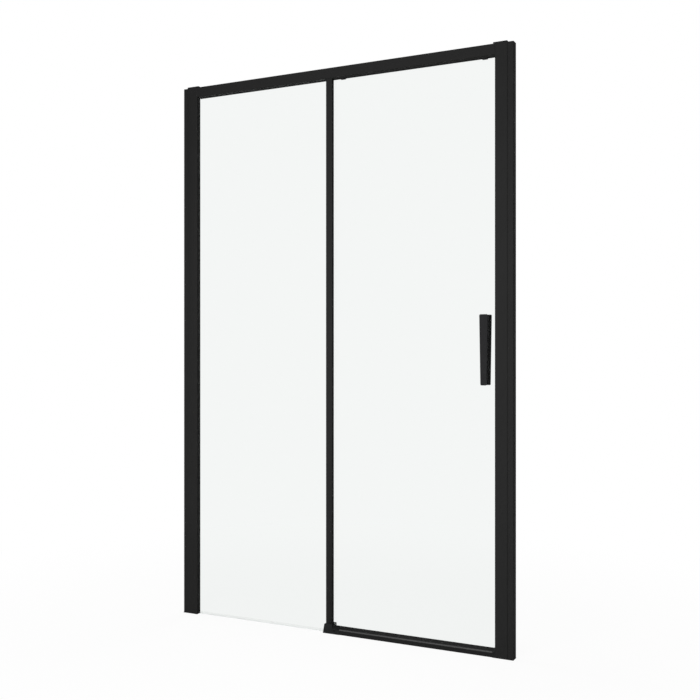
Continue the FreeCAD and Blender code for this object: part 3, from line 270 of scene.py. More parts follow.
@dataclass(frozen=True)
class Opaque(Finish):
    """A finish that no light goes through. Each kind says what pattern and relief it has."""

    # Tones at the pattern's low and high end.
    tones: Tones
    roughness: Union[float, Span]
    shine: float
    # Ends of the pattern between which the roughness changes.
    ends: Span = (0.0, 1.0)
    bare: float = 0.0
    glow: float = 0.0
    glow_depth: Optional[float] = None

    def pattern(self, shading: Shading) -> tuple[Socket, Socket]:
        """Build the pattern and the relief.

        Args:
            shading: Where their nodes go.

        Returns:
            The pattern of tone and roughness, and the normal.
        """
        raise NotImplementedError

    def painted_highlight(self, shading: Shading, colour: Socket) -> Socket:
        """Paint no highlight: leave the tone as it is."""
        return colour

    def surface(self, shading: Shading) -> Socket:
        """Build the surface with its pattern and relief.

        Args:
            shading: Where its nodes go.

        Returns:
            The shader socket.
        """
        pattern, normal = self.pattern(shading)
        rough = self.roughness
        if isinstance(rough, tuple):
            rough = shading.spread(pattern, rough, self.ends)
        colour = shading.tone(*map(linear, self.tones), pattern)
        # Base colour, with a painted highlight where a finish has one.
        return add_node(shading.tree, "BsdfPrincipled", {
            "Base Color": self.painted_highlight(shading, colour), "Roughness": rough, "Normal": normal,
            "Specular IOR Level": self.shine, "Metallic": self.bare, "Subsurface Weight": self.glow,
            "Subsurface Scale": self.glow_depth}).outputs["BSDF"]


@dataclass(frozen=True)
class PowderCoat(Opaque):
    """Aluminium extrusion under polyester powder: dead matt, with a fine grain on a soft orange peel."""

    tones: Tones = ("#252525", "#2c2c2c")
    roughness: Span = (0.56, 0.68)
    shine: float = 0.01
    ends: Span = (0.3, 0.7)
    # Powder grain is about 0.2 mm across; it is drawn at 1.1 mm so that it shows.
    grain: float = 1.1 * MM
    grain_relief: Span = (0.45, 0.05 * MM)
    grain_share: float = 0.45
    peel: float = 4.5 * MM
    peel_relief: Span = (0.5, 0.08 * MM)
    patches: float = 180 * MM

    def pattern(self, shading: Shading) -> tuple[Socket, Socket]:
        """Build patches of slightly uneven tone, grain and orange peel.

        Args:
            shading: Where their nodes go.

        Returns:
            The pattern of tone and roughness, and the normal.
        """
        grain = shading.noise(self.grain, detail=2.0)
        both = shading.between(shading.noise(self.patches, detail=3.0), grain, self.grain_share)
        wavy = shading.bent(shading.noise(self.peel, detail=1.0), self.peel_relief)
        return both, shading.bent(grain, self.grain_relief, wavy)


@dataclass(frozen=True)
class PaintedHighlightCoat(PowderCoat):
    """The same powder coat on the threshold, with a painted highlight: its tone is paler along the front
    edge.
    """

    # Pale tone painted along the front edge as a highlight.
    highlight_tone: str = "#565656"
    edge: float = 17.3 * MM
    reach: float = 3.5 * MM
    behind: float = -14.0 * MM

    def painted_highlight(self, shading: Shading, colour: Socket) -> Socket:
        """Fade the painted highlight's pale tone in towards the front edge.

        Args:
            shading: Where the nodes go.
            colour: The coat's own tone.

        Returns:
            The colour socket.
        """
        # Painted highlight: mix the pale tone in around the edge's height, on the front faces only.
        tree = shading.tree
        at = add_node(tree, "SeparateXYZ", {"Vector": shading.place}).outputs
        away = worked(tree, "ABSOLUTE", worked(tree, "SUBTRACT", at["Z"], self.edge))
        fade = shading.spread(away, (0.0, 1.0), (self.reach, 0.0), "SMOOTHSTEP")
        front = worked(tree, "LESS_THAN", at["Y"], self.behind)
        return shading.tone(colour, linear(self.highlight_tone), worked(tree, "MULTIPLY", fade, front))


@dataclass(frozen=True)
class SparkTexture(Opaque):
    """Black nylon moulded in a spark-eroded tool: an even, pebbly matt, a little greyer on its pebbles."""

    tones: Tones = ("#2c2d2d", "#222323")
    roughness: float = 0.62
    shine: float = 0.015
    # Pebbles of a spark-eroded tool are about 0.3 mm; they are drawn at 1.4 mm so that they show.
    pebble: float = 1.4 * MM
    pebble_relief: Span = (0.5, 0.08 * MM)
    softness: float = 0.6
    flow: float = 35 * MM
    flow_share: float = 0.5

    def pattern(self, shading: Shading) -> tuple[Socket, Socket]:
        """Build the pebbles and the soft flow marks of the moulding.

        Args:
            shading: Where their nodes go.

        Returns:
            The pattern of tone, and the normal.
        """
        pebbles = shading.cells(self.pebble, feature="SMOOTH_F1", Smoothness=self.softness)
        both = shading.between(pebbles, shading.noise(self.flow, detail=2.0), self.flow_share)
        return both, shading.bent(pebbles, self.pebble_relief)


@dataclass(frozen=True)
class SatinCoat(Opaque):
    """Die-cast grip under smooth satin black: silkier than the frame, with hand-polished patches."""

    tones: Tones = ("#242425", "#2d2d2e")
    roughness: Span = (0.38, 0.5)
    shine: float = 0.005
    ends: Span = (0.35, 0.65)
    patches: float = 45 * MM
    grain: float = 1.6 * MM
    grain_relief: Span = (0.35, 0.03 * MM)

    def pattern(self, shading: Shading) -> tuple[Socket, Socket]:
        """Build patches where hands have made the coat smoother, and a fine grain."""
        patches = shading.noise(self.patches, detail=4.0)
        return patches, shading.bent(shading.noise(self.grain, detail=2.0), self.grain_relief)


@dataclass(frozen=True)
class Lined(Opaque):
    """A finish with the fine lines that a die or a tool leaves one way, in tone, gleam and relief."""

    lines: float = 1.0 * MM
    line_relief: Span = (0.3, 0.05 * MM)
    detail: float = 3.0
    pull: float = 0.01
    run: Axis = Axis.Z

    def pattern(self, shading: Shading) -> tuple[Socket, Socket]:
        """Build the lines."""
        drawn = shading.noise(self.lines, self.detail, shading.along(self.run, self.pull))
        return drawn, shading.bent(drawn, self.line_relief)


@dataclass(frozen=True)
class BlackRubber(Lined):
    """Black thermoplastic rubber from a die: soft sheen, and fine draw lines along its length."""

    tones: Tones = ("#151516", "#232324")
    roughness: Span = (0.45, 0.65)
    shine: float = 0.35
    # Draw lines are about 0.2 mm apart; they are drawn 0.9 mm apart so that they show.
    lines: float = 0.9 * MM
    line_relief: Span = (0.4, 0.06 * MM)


@dataclass(frozen=True)
class WorkedMetal(Lined):
    """Turned or rolled metal, bare or thinly coated: fine tool lines that run one way break up its gleam."""

    tones: Tones = ("#a5a39f", "#c9c7c3")
    roughness: Span = (0.24, 0.4)
    shine: float = 0.5
    bare: float = 1.0
    # Tool lines are about 0.1 mm apart; they are drawn 0.6 mm apart so that they show.
    lines: float = 0.6 * MM
    line_relief: Span = (0.3, 0.02 * MM)
    detail: float = 4.0
    pull: float = 0.04
    run: Axis = Axis.X


@dataclass(frozen=True)
class CellFoam(Opaque):
    """Black closed-cell foam or bonded powder: dull, with cells or grains cut open at its edges."""

    tones: Tones = ("#121212", "#2a2928")
    roughness: float = 0.85
    shine: float = 0.2
    cell: float = 0.8 * MM
    cell_relief: Span = (0.7, 0.2 * MM)

    def pattern(self, shading: Shading) -> tuple[Socket, Socket]:
        """Build the cells."""
        cells = shading.cells(self.cell)
        return cells, shading.bent(cells, self.cell_relief)


@dataclass(frozen=True)
class NaturalAcetal(Opaque):
    """Uncoloured acetal from a mould: waxy off-white with a faint glow and cloudy flow marks."""

    tones: Tones = ("#d3d2cc", "#e2dfd5")
    roughness: float = 0.36
    shine: float = 0.5
    glow: float = 0.12
    glow_depth: float = 1.0 * MM
    clouds: float = 6 * MM
    cloud_relief: Span = (0.2, 0.03 * MM)

    def pattern(self, shading: Shading) -> tuple[Socket, Socket]:
        """Build the clouds."""
        clouds = shading.noise(self.clouds, detail=3.0)
        return clouds, shading.bent(clouds, self.cloud_relief)


@dataclass(frozen=True)
class FloatGlass(Finish):
    """Clear toughened float glass: nearly colourless through its faces, green through its ground edges."""

    face: str = "#f4f6f5"
    edge: str = "#e2f1ea"
    ior: float = 1.52
    # The easy-clean coat takes most of the mirror image off the faces.
    gleam: str = "#6a6a6a"
    lamplight: str = "#f7faf9"
    # Toughening rollers leave a wave about 300 mm long and a few hundredths of a millimetre high.
    wave: float = 300 * MM
    wave_relief: Span = (0.3, 0.2 * MM)
    edge_roughness: float = 0.22
    # Share of the normal that points through the pane, on a face and on an edge.
    facing: Span = (0.95, 0.6)

    def surface(self, shading: Shading) -> Socket:
        """Build clear faces and tinted, finely ground edges; lamps shine through it.

        Args:
            shading: Where its nodes go.

        Returns:
            The shader socket.
        """
        tree = shading.tree
        normal = add_node(tree, "NewGeometry").outputs["True Normal"]
        through = worked(tree, "ABSOLUTE", add_node(tree, "SeparateXYZ", {"Vector": normal}).outputs["Y"])
        edge = shading.spread(through, (0.0, 1.0), self.facing)
        glass = add_node(tree, "BsdfPrincipled", {
            "Base Color": shading.tone(linear(self.face), linear(self.edge), edge), "IOR": self.ior,
            "Roughness": shading.spread(edge, (0.0, self.edge_roughness)),
            "Normal": shading.bent(shading.noise(self.wave, detail=1.0), self.wave_relief),
            "Transmission Weight": 1.0, "Specular Tint": linear(self.gleam)}).outputs["BSDF"]
        return shading.see_through(glass, self.lamplight)


@dataclass(frozen=True)
class ClearVinyl(Finish):
    """Clear plasticised vinyl from a die: a little milky, with faint draw lines along its length."""

    tint: str = "#e9eeee"
    crossing: str = "#fefefe"
    clarity: float = 0.965
    ior: float = 1.53
    transmission: float = 0.94
    roughness: Span = (0.1, 0.24)
    run: Axis = Axis.X
    pull: float = 0.01
    lines: float = 1.0 * MM
    line_relief: Span = (0.3, 0.05 * MM)

    def surface(self, shading: Shading) -> Socket:
        """Build the milky body and its draw lines over a clear share; lamps shine through it.

        Args:
            shading: Where its nodes go.

        Returns:
            The shader socket.
        """
        drawn = shading.noise(self.lines, 2.0, shading.along(self.run, self.pull))
        vinyl = add_node(shading.tree, "BsdfPrincipled", {
            "Base Color": linear(self.tint), "IOR": self.ior, "Transmission Weight": self.transmission,
            "Roughness": shading.spread(drawn, self.roughness),
            "Normal": shading.bent(drawn, self.line_relief)}).outputs["BSDF"]
        return shading.see_through(vinyl, self.crossing, self.clarity)


FRAME_COAT = PowderCoat("powder_coated_aluminium", Slot.COAT)
# The threshold's coat is toned darker than the frame's same coat: painted shade, besides the painted
# highlight on its front edge.
SILL_PAINTED_LIGHT_COAT = PaintedHighlightCoat("powder_coated_threshold", Slot.COAT, tones=("#202020", "#272727"),
                      roughness=(0.42, 0.54), shine=0.02)
MOULDED = SparkTexture("spark_textured_nylon", Slot.MOULDING)
GRIP_COAT = SatinCoat("satin_black_coat", Slot.HANDLE)
GLASS = FloatGlass("clear_float_glass", Slot.GLASS)
VINYL = ClearVinyl("clear_vinyl", Slot.CLEAR_SEAL)
UPRIGHT_RUBBER = BlackRubber("black_rubber_upright", Slot.DARK_SEAL)
LEVEL_RUBBER = BlackRubber("black_rubber_level", Slot.DARK_SEAL, run=Axis.X)
FOAM = CellFoam("foam_tape", Slot.TAPE)
MAGNET = CellFoam("bonded_ferrite", Slot.FERRITE, tones=("#1c1a19", "#332f2d"), cell=0.5 * MM,
                  cell_relief=(0.7, 0.04 * MM), shine=0.3)
STEEL = WorkedMetal("rolled_stainless_steel", Slot.STEEL)
TURNED_STEEL = WorkedMetal("turned_stainless_steel", Slot.STEEL, run=Axis.Y)
BLACK_STEEL = WorkedMetal("electro_coated_steel", Slot.BLACK_STEEL, tones=("#191919", "#252526"),
                          roughness=(0.4, 0.55), bare=0.0, shine=0.1)
BRASS = WorkedMetal("turned_brass", Slot.BRASS, tones=("#a9873f", "#cfae62"), run=Axis.Y)
ACETAL = NaturalAcetal("natural_acetal", Slot.ACETAL)


def clear_bench() -> None:
    """Leave edit mode and deselect everything, as the loaded nodes start out selected."""
    if bpy.context.mode != "OBJECT":
        bpy.ops.object.mode_set(mode="OBJECT")
    bpy.ops.object.select_all(action="DESELECT")


def take_up(*things: bpy.types.Object) -> None:
    """Select objects and nothing else.

    Args:
        things: The objects. The first becomes the active one.
    """
    clear_bench()
    for thing in things:
        thing.select_set(True)
    bpy.context.view_layer.objects.active = things[0]


class Piece:
    """A new piece on the bench, shaped with Blender's own tools and then handed to its body."""

    def __init__(self, name: str, finish: Finish) -> None:
        """Take over the primitive that was just added.

        Args:
            name: Name of the piece.
            finish: Its finish.
        """
        self.thing: bpy.types.Object = bpy.context.active_object
        self.thing.name = name
        self.thing.data.name = name
        self.finish = finish
        bpy.ops.object.transform_apply(location=True, rotation=True, scale=True)

    @classmethod
    def box(cls, name: str, finish: Finish, low: Point, high: Point) -> "Piece":
        """Start from a box.

        Args:
            name: Name of the piece.
            finish: Its finish.
            low: Lowest corner.
            high: Highest corner.

        Returns:
            The piece.
        """
        clear_bench()
        lowest, highest = Vector(low), Vector(high)
        bpy.ops.mesh.primitive_cube_add(size=1, location=(lowest + highest) / 2, scale=highest - lowest)
        return cls(name, finish)

    @classmethod
    def drum(cls, name: str, finish: Finish, centre: Point, radius: float, length: float,
             sides: int = 64) -> "Piece":
        """Start from a cylinder along Y.

        Args:
            name: Name of the piece.
            finish: Its finish.
            centre: Middle of the cylinder.
            radius: Its radius.
            length: Its length.
            sides: Number of its sides.

        Returns:
            The piece.
        """
        clear_bench()
        bpy.ops.mesh.primitive_cylinder_add(vertices=sides, radius=radius, depth=length,
                                            location=centre, rotation=TURN_TO_Y)
        return cls(name, finish)

    @classmethod
    def ribbon(cls, name: str, finish: Finish, run: Axis, ends: Span, chain: Chain, wall: float) -> "Piece":
        """Draw a strip of constant wall through a chain of points, as from an extrusion die.

        Args:
            name: Name of the piece.
            finish: Its finish.
            run: The strip's length, X or Z.
            ends: Where it starts and ends along its length.
            chain: Middle line of its wall: (x, y) points for a run along Z, (z, y) for one along X.
            wall: Thickness of the wall.

        Returns:
            The piece.
        """
        clear_bench()
        bpy.ops.mesh.primitive_plane_add(size=1, rotation=TURN_TO_Y)
        piece = cls(name, finish)
        other = Axis.X if run is Axis.Z else Axis.Z
        plane_sides = (-0.5, 0.5)
        for side, end in zip(plane_sides, ends):
            piece.pick(Part.CORNERS, lambda middle, normal: abs(middle[run.value] - side) < NEAR)
            piece.move(run.vector * (end - side))
        for side, (across, depth) in zip(plane_sides, chain):
            piece.pick(Part.CORNERS, lambda middle, normal: abs(middle[other.value] - side) < NEAR)
            piece.move(other.vector * (across - side) + Axis.Y.vector * depth)
        turn = chain[1]
        piece.pick(Part.EDGES, lambda middle, normal:
                   math.hypot(middle[other.value] - turn[0], middle.y - turn[1]) < NEAR)
        for before, after in zip(chain[1:], chain[2:]):
            piece.extrude(other.vector * (after[0] - before[0]) + Axis.Y.vector * (after[1] - before[1]))
        return piece.modify("SOLIDIFY", thickness=wall, offset=0.0, use_even_offset=True)

    @classmethod
    def seal(cls, name: str, finish: Finish, run: Axis, ends: Span, *walls: tuple[Chain, float]) -> "Piece":
        """Draw a seal from several ribbons.

        Args:
            name: Name of the piece.
            finish: Its finish.
            run: The seal's length, X or Z.
            ends: Where it starts and ends along its length.
            walls: The chain and the thickness of each ribbon.

        Returns:
            The piece.
        """
        first, *others = [cls.ribbon(name, finish, run, ends, chain, wall) for chain, wall in walls]
        return first.join(others)

    @classmethod
    def recast(cls, node: str, finish: Finish) -> "Piece":
        """Start from a merged copy of a CAD node, whose own mesh is loose triangles.

        Args:
            node: Name of the node.
            finish: The finish.

        Returns:
            The piece.
        """
        take_up(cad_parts[node])
        bpy.ops.object.duplicate(linked=False)
        copy = bpy.context.active_object
        copy.parent = None
        for key in list(copy.keys()):
            del copy[key]
        piece = cls(node + "_smooth", finish)
        piece.pick(Part.CORNERS, lambda middle, normal: True)
        bpy.ops.mesh.remove_doubles(threshold=MERGE)
        return piece

    def pick(self, part: Part, wanted: Test) -> "Piece":
        """Select in edit mode the parts that pass a test, and nothing else.

        Args:
            part: What to select.
            wanted: Test of a part's middle and normal.

        Returns:
            The piece.
        """
        bpy.context.view_layer.objects.active = self.thing
        if bpy.context.mode != "EDIT_MESH":
            bpy.ops.object.mode_set(mode="EDIT")
        bpy.ops.mesh.select_mode(type=part.value)
        bpy.ops.mesh.select_all(action="DESELECT")
        mesh = bmesh.from_edit_mesh(self.thing.data)
        mesh.normal_update()
        if part is Part.CORNERS:
            found = [(corner, corner.co, corner.normal) for corner in mesh.verts]
        elif part is Part.FACES:
            found = [(face, face.calc_center_median(), face.normal) for face in mesh.faces]
        else:
            found = [(edge, (edge.verts[0].co + edge.verts[1].co) / 2,
                      sum((face.normal for face in edge.link_faces), Vector())) for edge in mesh.edges]
        for item, middle, normal in found:
            if wanted(middle, normal):
                item.select_set(True)
        mesh.select_flush_mode()
        bmesh.update_edit_mesh(self.thing.data)
        return self

    def pick_facing(self, way: Vector) -> "Piece":
        """Select the faces that look one way."""
        return self.pick(Part.FACES, lambda middle, normal: normal.dot(way) > FACING)

    def move(self, by: Vector) -> "Piece":
        """Move what is selected."""
        bpy.ops.transform.translate(value=by)
        return self

    def resize(self, factors: Point, centre: Point) -> "Piece":
        """Resize what is selected about a centre."""
        bpy.ops.transform.resize(value=factors, center_override=centre)
        return self

    def extrude(self, by: Vector) -> "Piece":
        """Extrude what is selected along a vector."""
        bpy.ops.mesh.extrude_region_move(TRANSFORM_OT_translate={"value": by})
        return self

    def inset(self, width: float, lift: float = 0.0) -> "Piece":
        """Inset the selected faces, and lift what is inside."""
        bpy.ops.mesh.inset(thickness=width, depth=lift)
        return self

    def dish(self, rim: float, slope: float, depth: float) -> "Piece":
        """Sink a shallow dish within a rim in the selected face."""
        return self.inset(rim).inset(slope, -depth)

    def slice(self, point: Point, normal: Vector) -> "Piece":
        """Cut the selected faces along a plane."""
        bpy.ops.mesh.bisect(plane_co=point, plane_no=normal)
        return self

    def bevel(self, width: float, steps: int) -> "Piece":
        """Round the selected edges."""
        bpy.ops.mesh.bevel(offset=width, segments=steps, affect="EDGES")
        return self

    def modify(self, kind: str, **settings: object) -> "Piece":
        """Apply a modifier.

        Args:
            kind: Blender's name for the type of modifier.
            settings: Its settings.

        Returns:
            The piece.
        """
        take_up(self.thing)
        modifier = self.thing.modifiers.new(kind, kind)
        for name, value in settings.items():
            setattr(modifier, name, value)
        bpy.ops.object.modifier_apply(modifier=modifier.name)
        return self

    def carve(self, tool: "Piece") -> "Piece":
        """Take another piece's shape out of this one, and throw the other away."""
        self.modify("BOOLEAN", operation="DIFFERENCE", object=tool.thing, solver="EXACT")
        bpy.data.objects.remove(tool.thing)
        return self

    def copy(self, name: str, step: Vector) -> "Piece":
        """Copy this piece, with a mesh of its own, to another place.

        Args:
            name: Name of the copy.
            step: How far it goes from this piece.

        Returns:
            The copy.
        """
        take_up(self.thing)
        bpy.ops.object.duplicate(linked=False)
        bpy.ops.transform.translate(value=step)
        return Piece(name, self.finish)

    def join(self, others: Sequence["Piece"]) -> "Piece":
        """Join other pieces' meshes into this one.

        Args:
            others: The pieces that become part of this one.

        Returns:
            The piece.
        """
        take_up(self.thing, *(piece.thing for piece in others))
        bpy.ops.object.join()
        return self

    def repeat(self, steps: Sequence[Vector]) -> "Piece":
        """Copy this piece to other places and join all into one mesh."""
        return self.join([self.copy(self.thing.name + "_copy", step) for step in steps])

    def done(self, body: Body, *nodes: str, sharp: float = 35.0) -> "Piece":
        """Clean the mesh, dress it, and hand the piece to its body.

        Args:
            body: The body it rides on.
            nodes: The CAD nodes it stands for.
            sharp: Edges that turn by more than this many degrees stay sharp.

        Returns:
            The piece.
        """
        take_up(self.thing)
        bpy.ops.object.mode_set(mode="EDIT")
        bpy.ops.mesh.select_all(action="SELECT")
        bpy.ops.mesh.remove_doubles(threshold=MERGE)
        bpy.ops.mesh.normals_make_consistent(inside=False)
        bpy.ops.object.mode_set(mode="OBJECT")
        bpy.ops.object.shade_smooth_by_angle(angle=math.radians(sharp))
        self.thing.data.materials.clear()
        self.thing.data.materials.append(self.finish.material())
        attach(self.thing, body.value)
        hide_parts(*nodes)
        LOG.info("made %s for %s", self.thing.name, ", ".join(nodes))
        return self


def dress(finish: Finish, *nodes: str) -> None:
    """Give CAD nodes that keep their mesh their finish.

    Args:
        finish: The finish.
        nodes: Names of the nodes.
    """
    for node in nodes:
        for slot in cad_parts[node].material_slots:
            slot.material = finish.material()
        LOG.info("dressed %s in %s", node, finish.name)


def smooth(finish: Finish, *nodes: str) -> None:
    """Stand smoothed copies of the same shape in for CAD nodes of the frame."""
    for node in nodes:
        Piece.recast(node, finish).done(Body.FRAME, node)


@dataclass(frozen=True)
class ScrewForm:
    """A pan-head screw with a hexagon socket."""

    head_radius: float
    head: float
    shank_radius: float
    shank: float
    socket_radius: float
    rounding_share: float = 0.45
    # Length of the tool that cuts the socket, half of it in the head, as a share of the head's height.
    socket_share: float = 1.2

    def make(self, name: str, finish: Finish, seat: Vector, out: Vector) -> Piece:
        """Turn the head and shank, and sink the socket.

        Args:
            name: Name of the screw.
            finish: Finish of the screw.
            seat: Where the axis meets the face under the head.
            out: Unit vector from the seat through the head, along Y.

        Returns:
            The screw.
        """
        screw = Piece.drum(name, finish, seat + out * self.head / 2, self.head_radius, self.head)
        screw.pick_facing(-out).inset(self.head_radius - self.shank_radius).extrude(-out * self.shank)
        screw.pick(Part.EDGES, lambda middle, normal: (middle - seat).dot(out) > self.head - NEAR)
        screw.bevel(self.head * self.rounding_share, steps=5)
        return screw.carve(Piece.drum(name + "_socket", finish, seat + out * self.head, self.socket_radius,
                                      self.head * self.socket_share, sides=6))


@dataclass
class SideFrames:
    """The two posts over their wall profiles, with their caps, pads, brackets, screws and screw covers."""

    cover_radius: float = 4.7 * MM
    cover_depth: float = 3.5 * MM
    cover_wall: float = 1.0 * MM
    cover_round: float = 1.4 * MM
    # Rim, slope and depth of the dish in a cover.
    cover_dish: tuple[float, float, float] = (0.8 * MM, 0.5 * MM, 0.25 * MM)
    left_cover: Span = (-621.6 * MM, -0.05 * MM)
    right_cover: Span = (619.9 * MM, 8.25 * MM)
    cover_heights: tuple[float, ...] = (150 * MM, 1000 * MM, 1850 * MM)

    def covers(self) -> Piece:
        """Model one snap cover, with a shallow dish in its face, and copy it to all the clamp screws.

        Returns:
            The covers as one piece.
        """
        places = [Vector((x, y, z)) for x, y in (self.left_cover, self.right_cover)
                  for z in self.cover_heights]
        first, out = places[0], Axis.Y.vector
        cover = Piece.drum("snap_covers", MOULDED, first + out * self.cover_depth / 2, self.cover_radius,
                           self.cover_depth)
        cover.pick(Part.EDGES, lambda middle, normal: middle.y > first.y + self.cover_depth - NEAR)
        cover.bevel(self.cover_round, steps=5)
        cover.pick_facing(out).dish(*self.cover_dish)
        cover.pick_facing(-out).inset(self.cover_wall).extrude(out * (self.cover_depth - self.cover_wall))
        return cover.repeat([place - first for place in places[1:]])

    def build(self) -> None:
        """Make the covers, smooth the extrusions and caps, and dress the rest."""
        self.covers().done(Body.FRAME, "clamp_covers")
        for side in ("left", "right"):
            smooth(FRAME_COAT, "post_" + side, "wall_profile_" + side)
            smooth(MOULDED, "top_cap_" + side)
        dress(MOULDED, "foot_pads")
        dress(STEEL, "rail_bracket_left", "rail_bracket_right")
        dress(TURNED_STEEL, "clamp_screws")


@dataclass
class TopRail:
    """The rail with the wheels' track, its end screws, and the two door stops with their screws."""

    stop_screw: ScrewForm = ScrewForm(head_radius=3.0 * MM, head=1.8 * MM, shank_radius=1.6 * MM,
                                      shank=6.0 * MM, socket_radius=1.3 * MM)
    stop_places: Span = (-525.05 * MM, 573.2 * MM)
    stop_height: float = 1968.8 * MM
    back: float = 12.25 * MM

    def build(self) -> None:
        """Make the stop screws, smooth the rail, and dress the rest."""
        left, right = self.stop_places
        seat = Vector((left, self.back, self.stop_height))
        screws = self.stop_screw.make("stop_socket_screws", TURNED_STEEL, seat, Axis.Y.vector)
        screws.repeat([Axis.X.vector * (right - left)]).done(Body.FRAME, "stop_screws")
        smooth(FRAME_COAT, "top_rail")
        dress(TURNED_STEEL, "rail_screws")
        dress(LEVEL_RUBBER, "rail_gasket", "stop_buffers")
        dress(MOULDED, "door_stops")


@dataclass
class FixedPane:
    """The fixed pane with its gaskets and clear strip, and the edge bar on its free edge."""

    bar_back: float = -6.75 * MM
    seal_left: float = -24.3 * MM
    seal_right: float = -12.3 * MM
    seal_levels: Span = (33.9 * MM, 1954.9 * MM)
    seal_wall: float = 0.8 * MM
    seal_inset: float = 0.5 * MM
    fin_wall: float = 0.6 * MM
    # Points of the fin by how far they lie from its root, along the door and into the shower.
    fin_bend: tuple[Span, ...] = ((0.0, 0.0), (0.1 * MM, 1.4 * MM), (0.6 * MM, 2.6 * MM))
    fin_lean: float = 1.5 * MM
    fin_tip: float = -2.5 * MM

    def bar_seal(self) -> Piece:
        """Draw the flat base on the bar's rear face, and the curved fin that wipes the sliding pane.

        Returns:
            The seal.
        """
        base = self.bar_back + self.seal_wall / 2
        flat = [(self.seal_left + self.seal_inset, base), (self.seal_right - self.seal_inset, base)]
        root = (self.seal_left + self.seal_right) / 2
        fin = [(root + along, base + out) for along, out in self.fin_bend]
        fin.append((root + self.fin_lean, self.fin_tip))
        return Piece.seal("bar_seal", UPRIGHT_RUBBER, Axis.Z, self.seal_levels, (flat, self.seal_wall),
                          (fin, self.fin_wall))

    def build(self) -> None:
        """Make the bar's seal, smooth the bar, and dress the rest."""
        self.bar_seal().done(Body.FRAME, "edge_bar_seal")
        smooth(FRAME_COAT, "edge_bar")
        dress(GLASS, "fixed_pane")
        dress(VINYL, "bottom_strip")
        dress(UPRIGHT_RUBBER, "post_gasket")
        dress(FOAM, "edge_bar_tape")
        dress(MOULDED, "edge_bar_ears")


@dataclass
class Foot:
    """The block at the edge bar's foot, its slippery liner, and the screw that holds the liner."""

    screw: ScrewForm = ScrewForm(head_radius=3.6 * MM, head=2.4 * MM, shank_radius=2.0 * MM,
                                 shank=22.0 * MM, socket_radius=1.7 * MM)
    screw_seat: tuple[float, float, float] = (-1.1 * MM, -20.75 * MM, 11.5 * MM)

    def build(self) -> None:
        """Make the screw, smooth the block, and dress the liner."""
        screw = self.screw.make("liner_screw", BLACK_STEEL, Vector(self.screw_seat), -Axis.Y.vector)
        screw.done(Body.FRAME, "foot_screw")
        smooth(MOULDED, "foot_block")
        dress(ACETAL, "guide_liner")


@dataclass
class Threshold:
    """The threshold with a painted highlight along its front edge, its tape and its end cap."""

    def build(self) -> None:
        """Smooth the threshold and its end cap, and dress the tape."""
        smooth(SILL_PAINTED_LIGHT_COAT, "threshold")
        smooth(MOULDED, "threshold_end_cap")
        dress(FOAM, "threshold_tape")


@dataclass
class Strike:
    """The seal and magnet that the sliding pane closes on, in the right post's pocket."""

    def build(self) -> None:
        """Dress the seal and the magnet."""
        dress(UPRIGHT_RUBBER, "strike_seal")
        dress(MAGNET, "strike_magnet")


@dataclass(frozen=True)
class Edge:
    """An edge of the sliding pane: its place, which way it faces, and how far its seal laps the glass."""

    place: float
    way: int
    lap: float


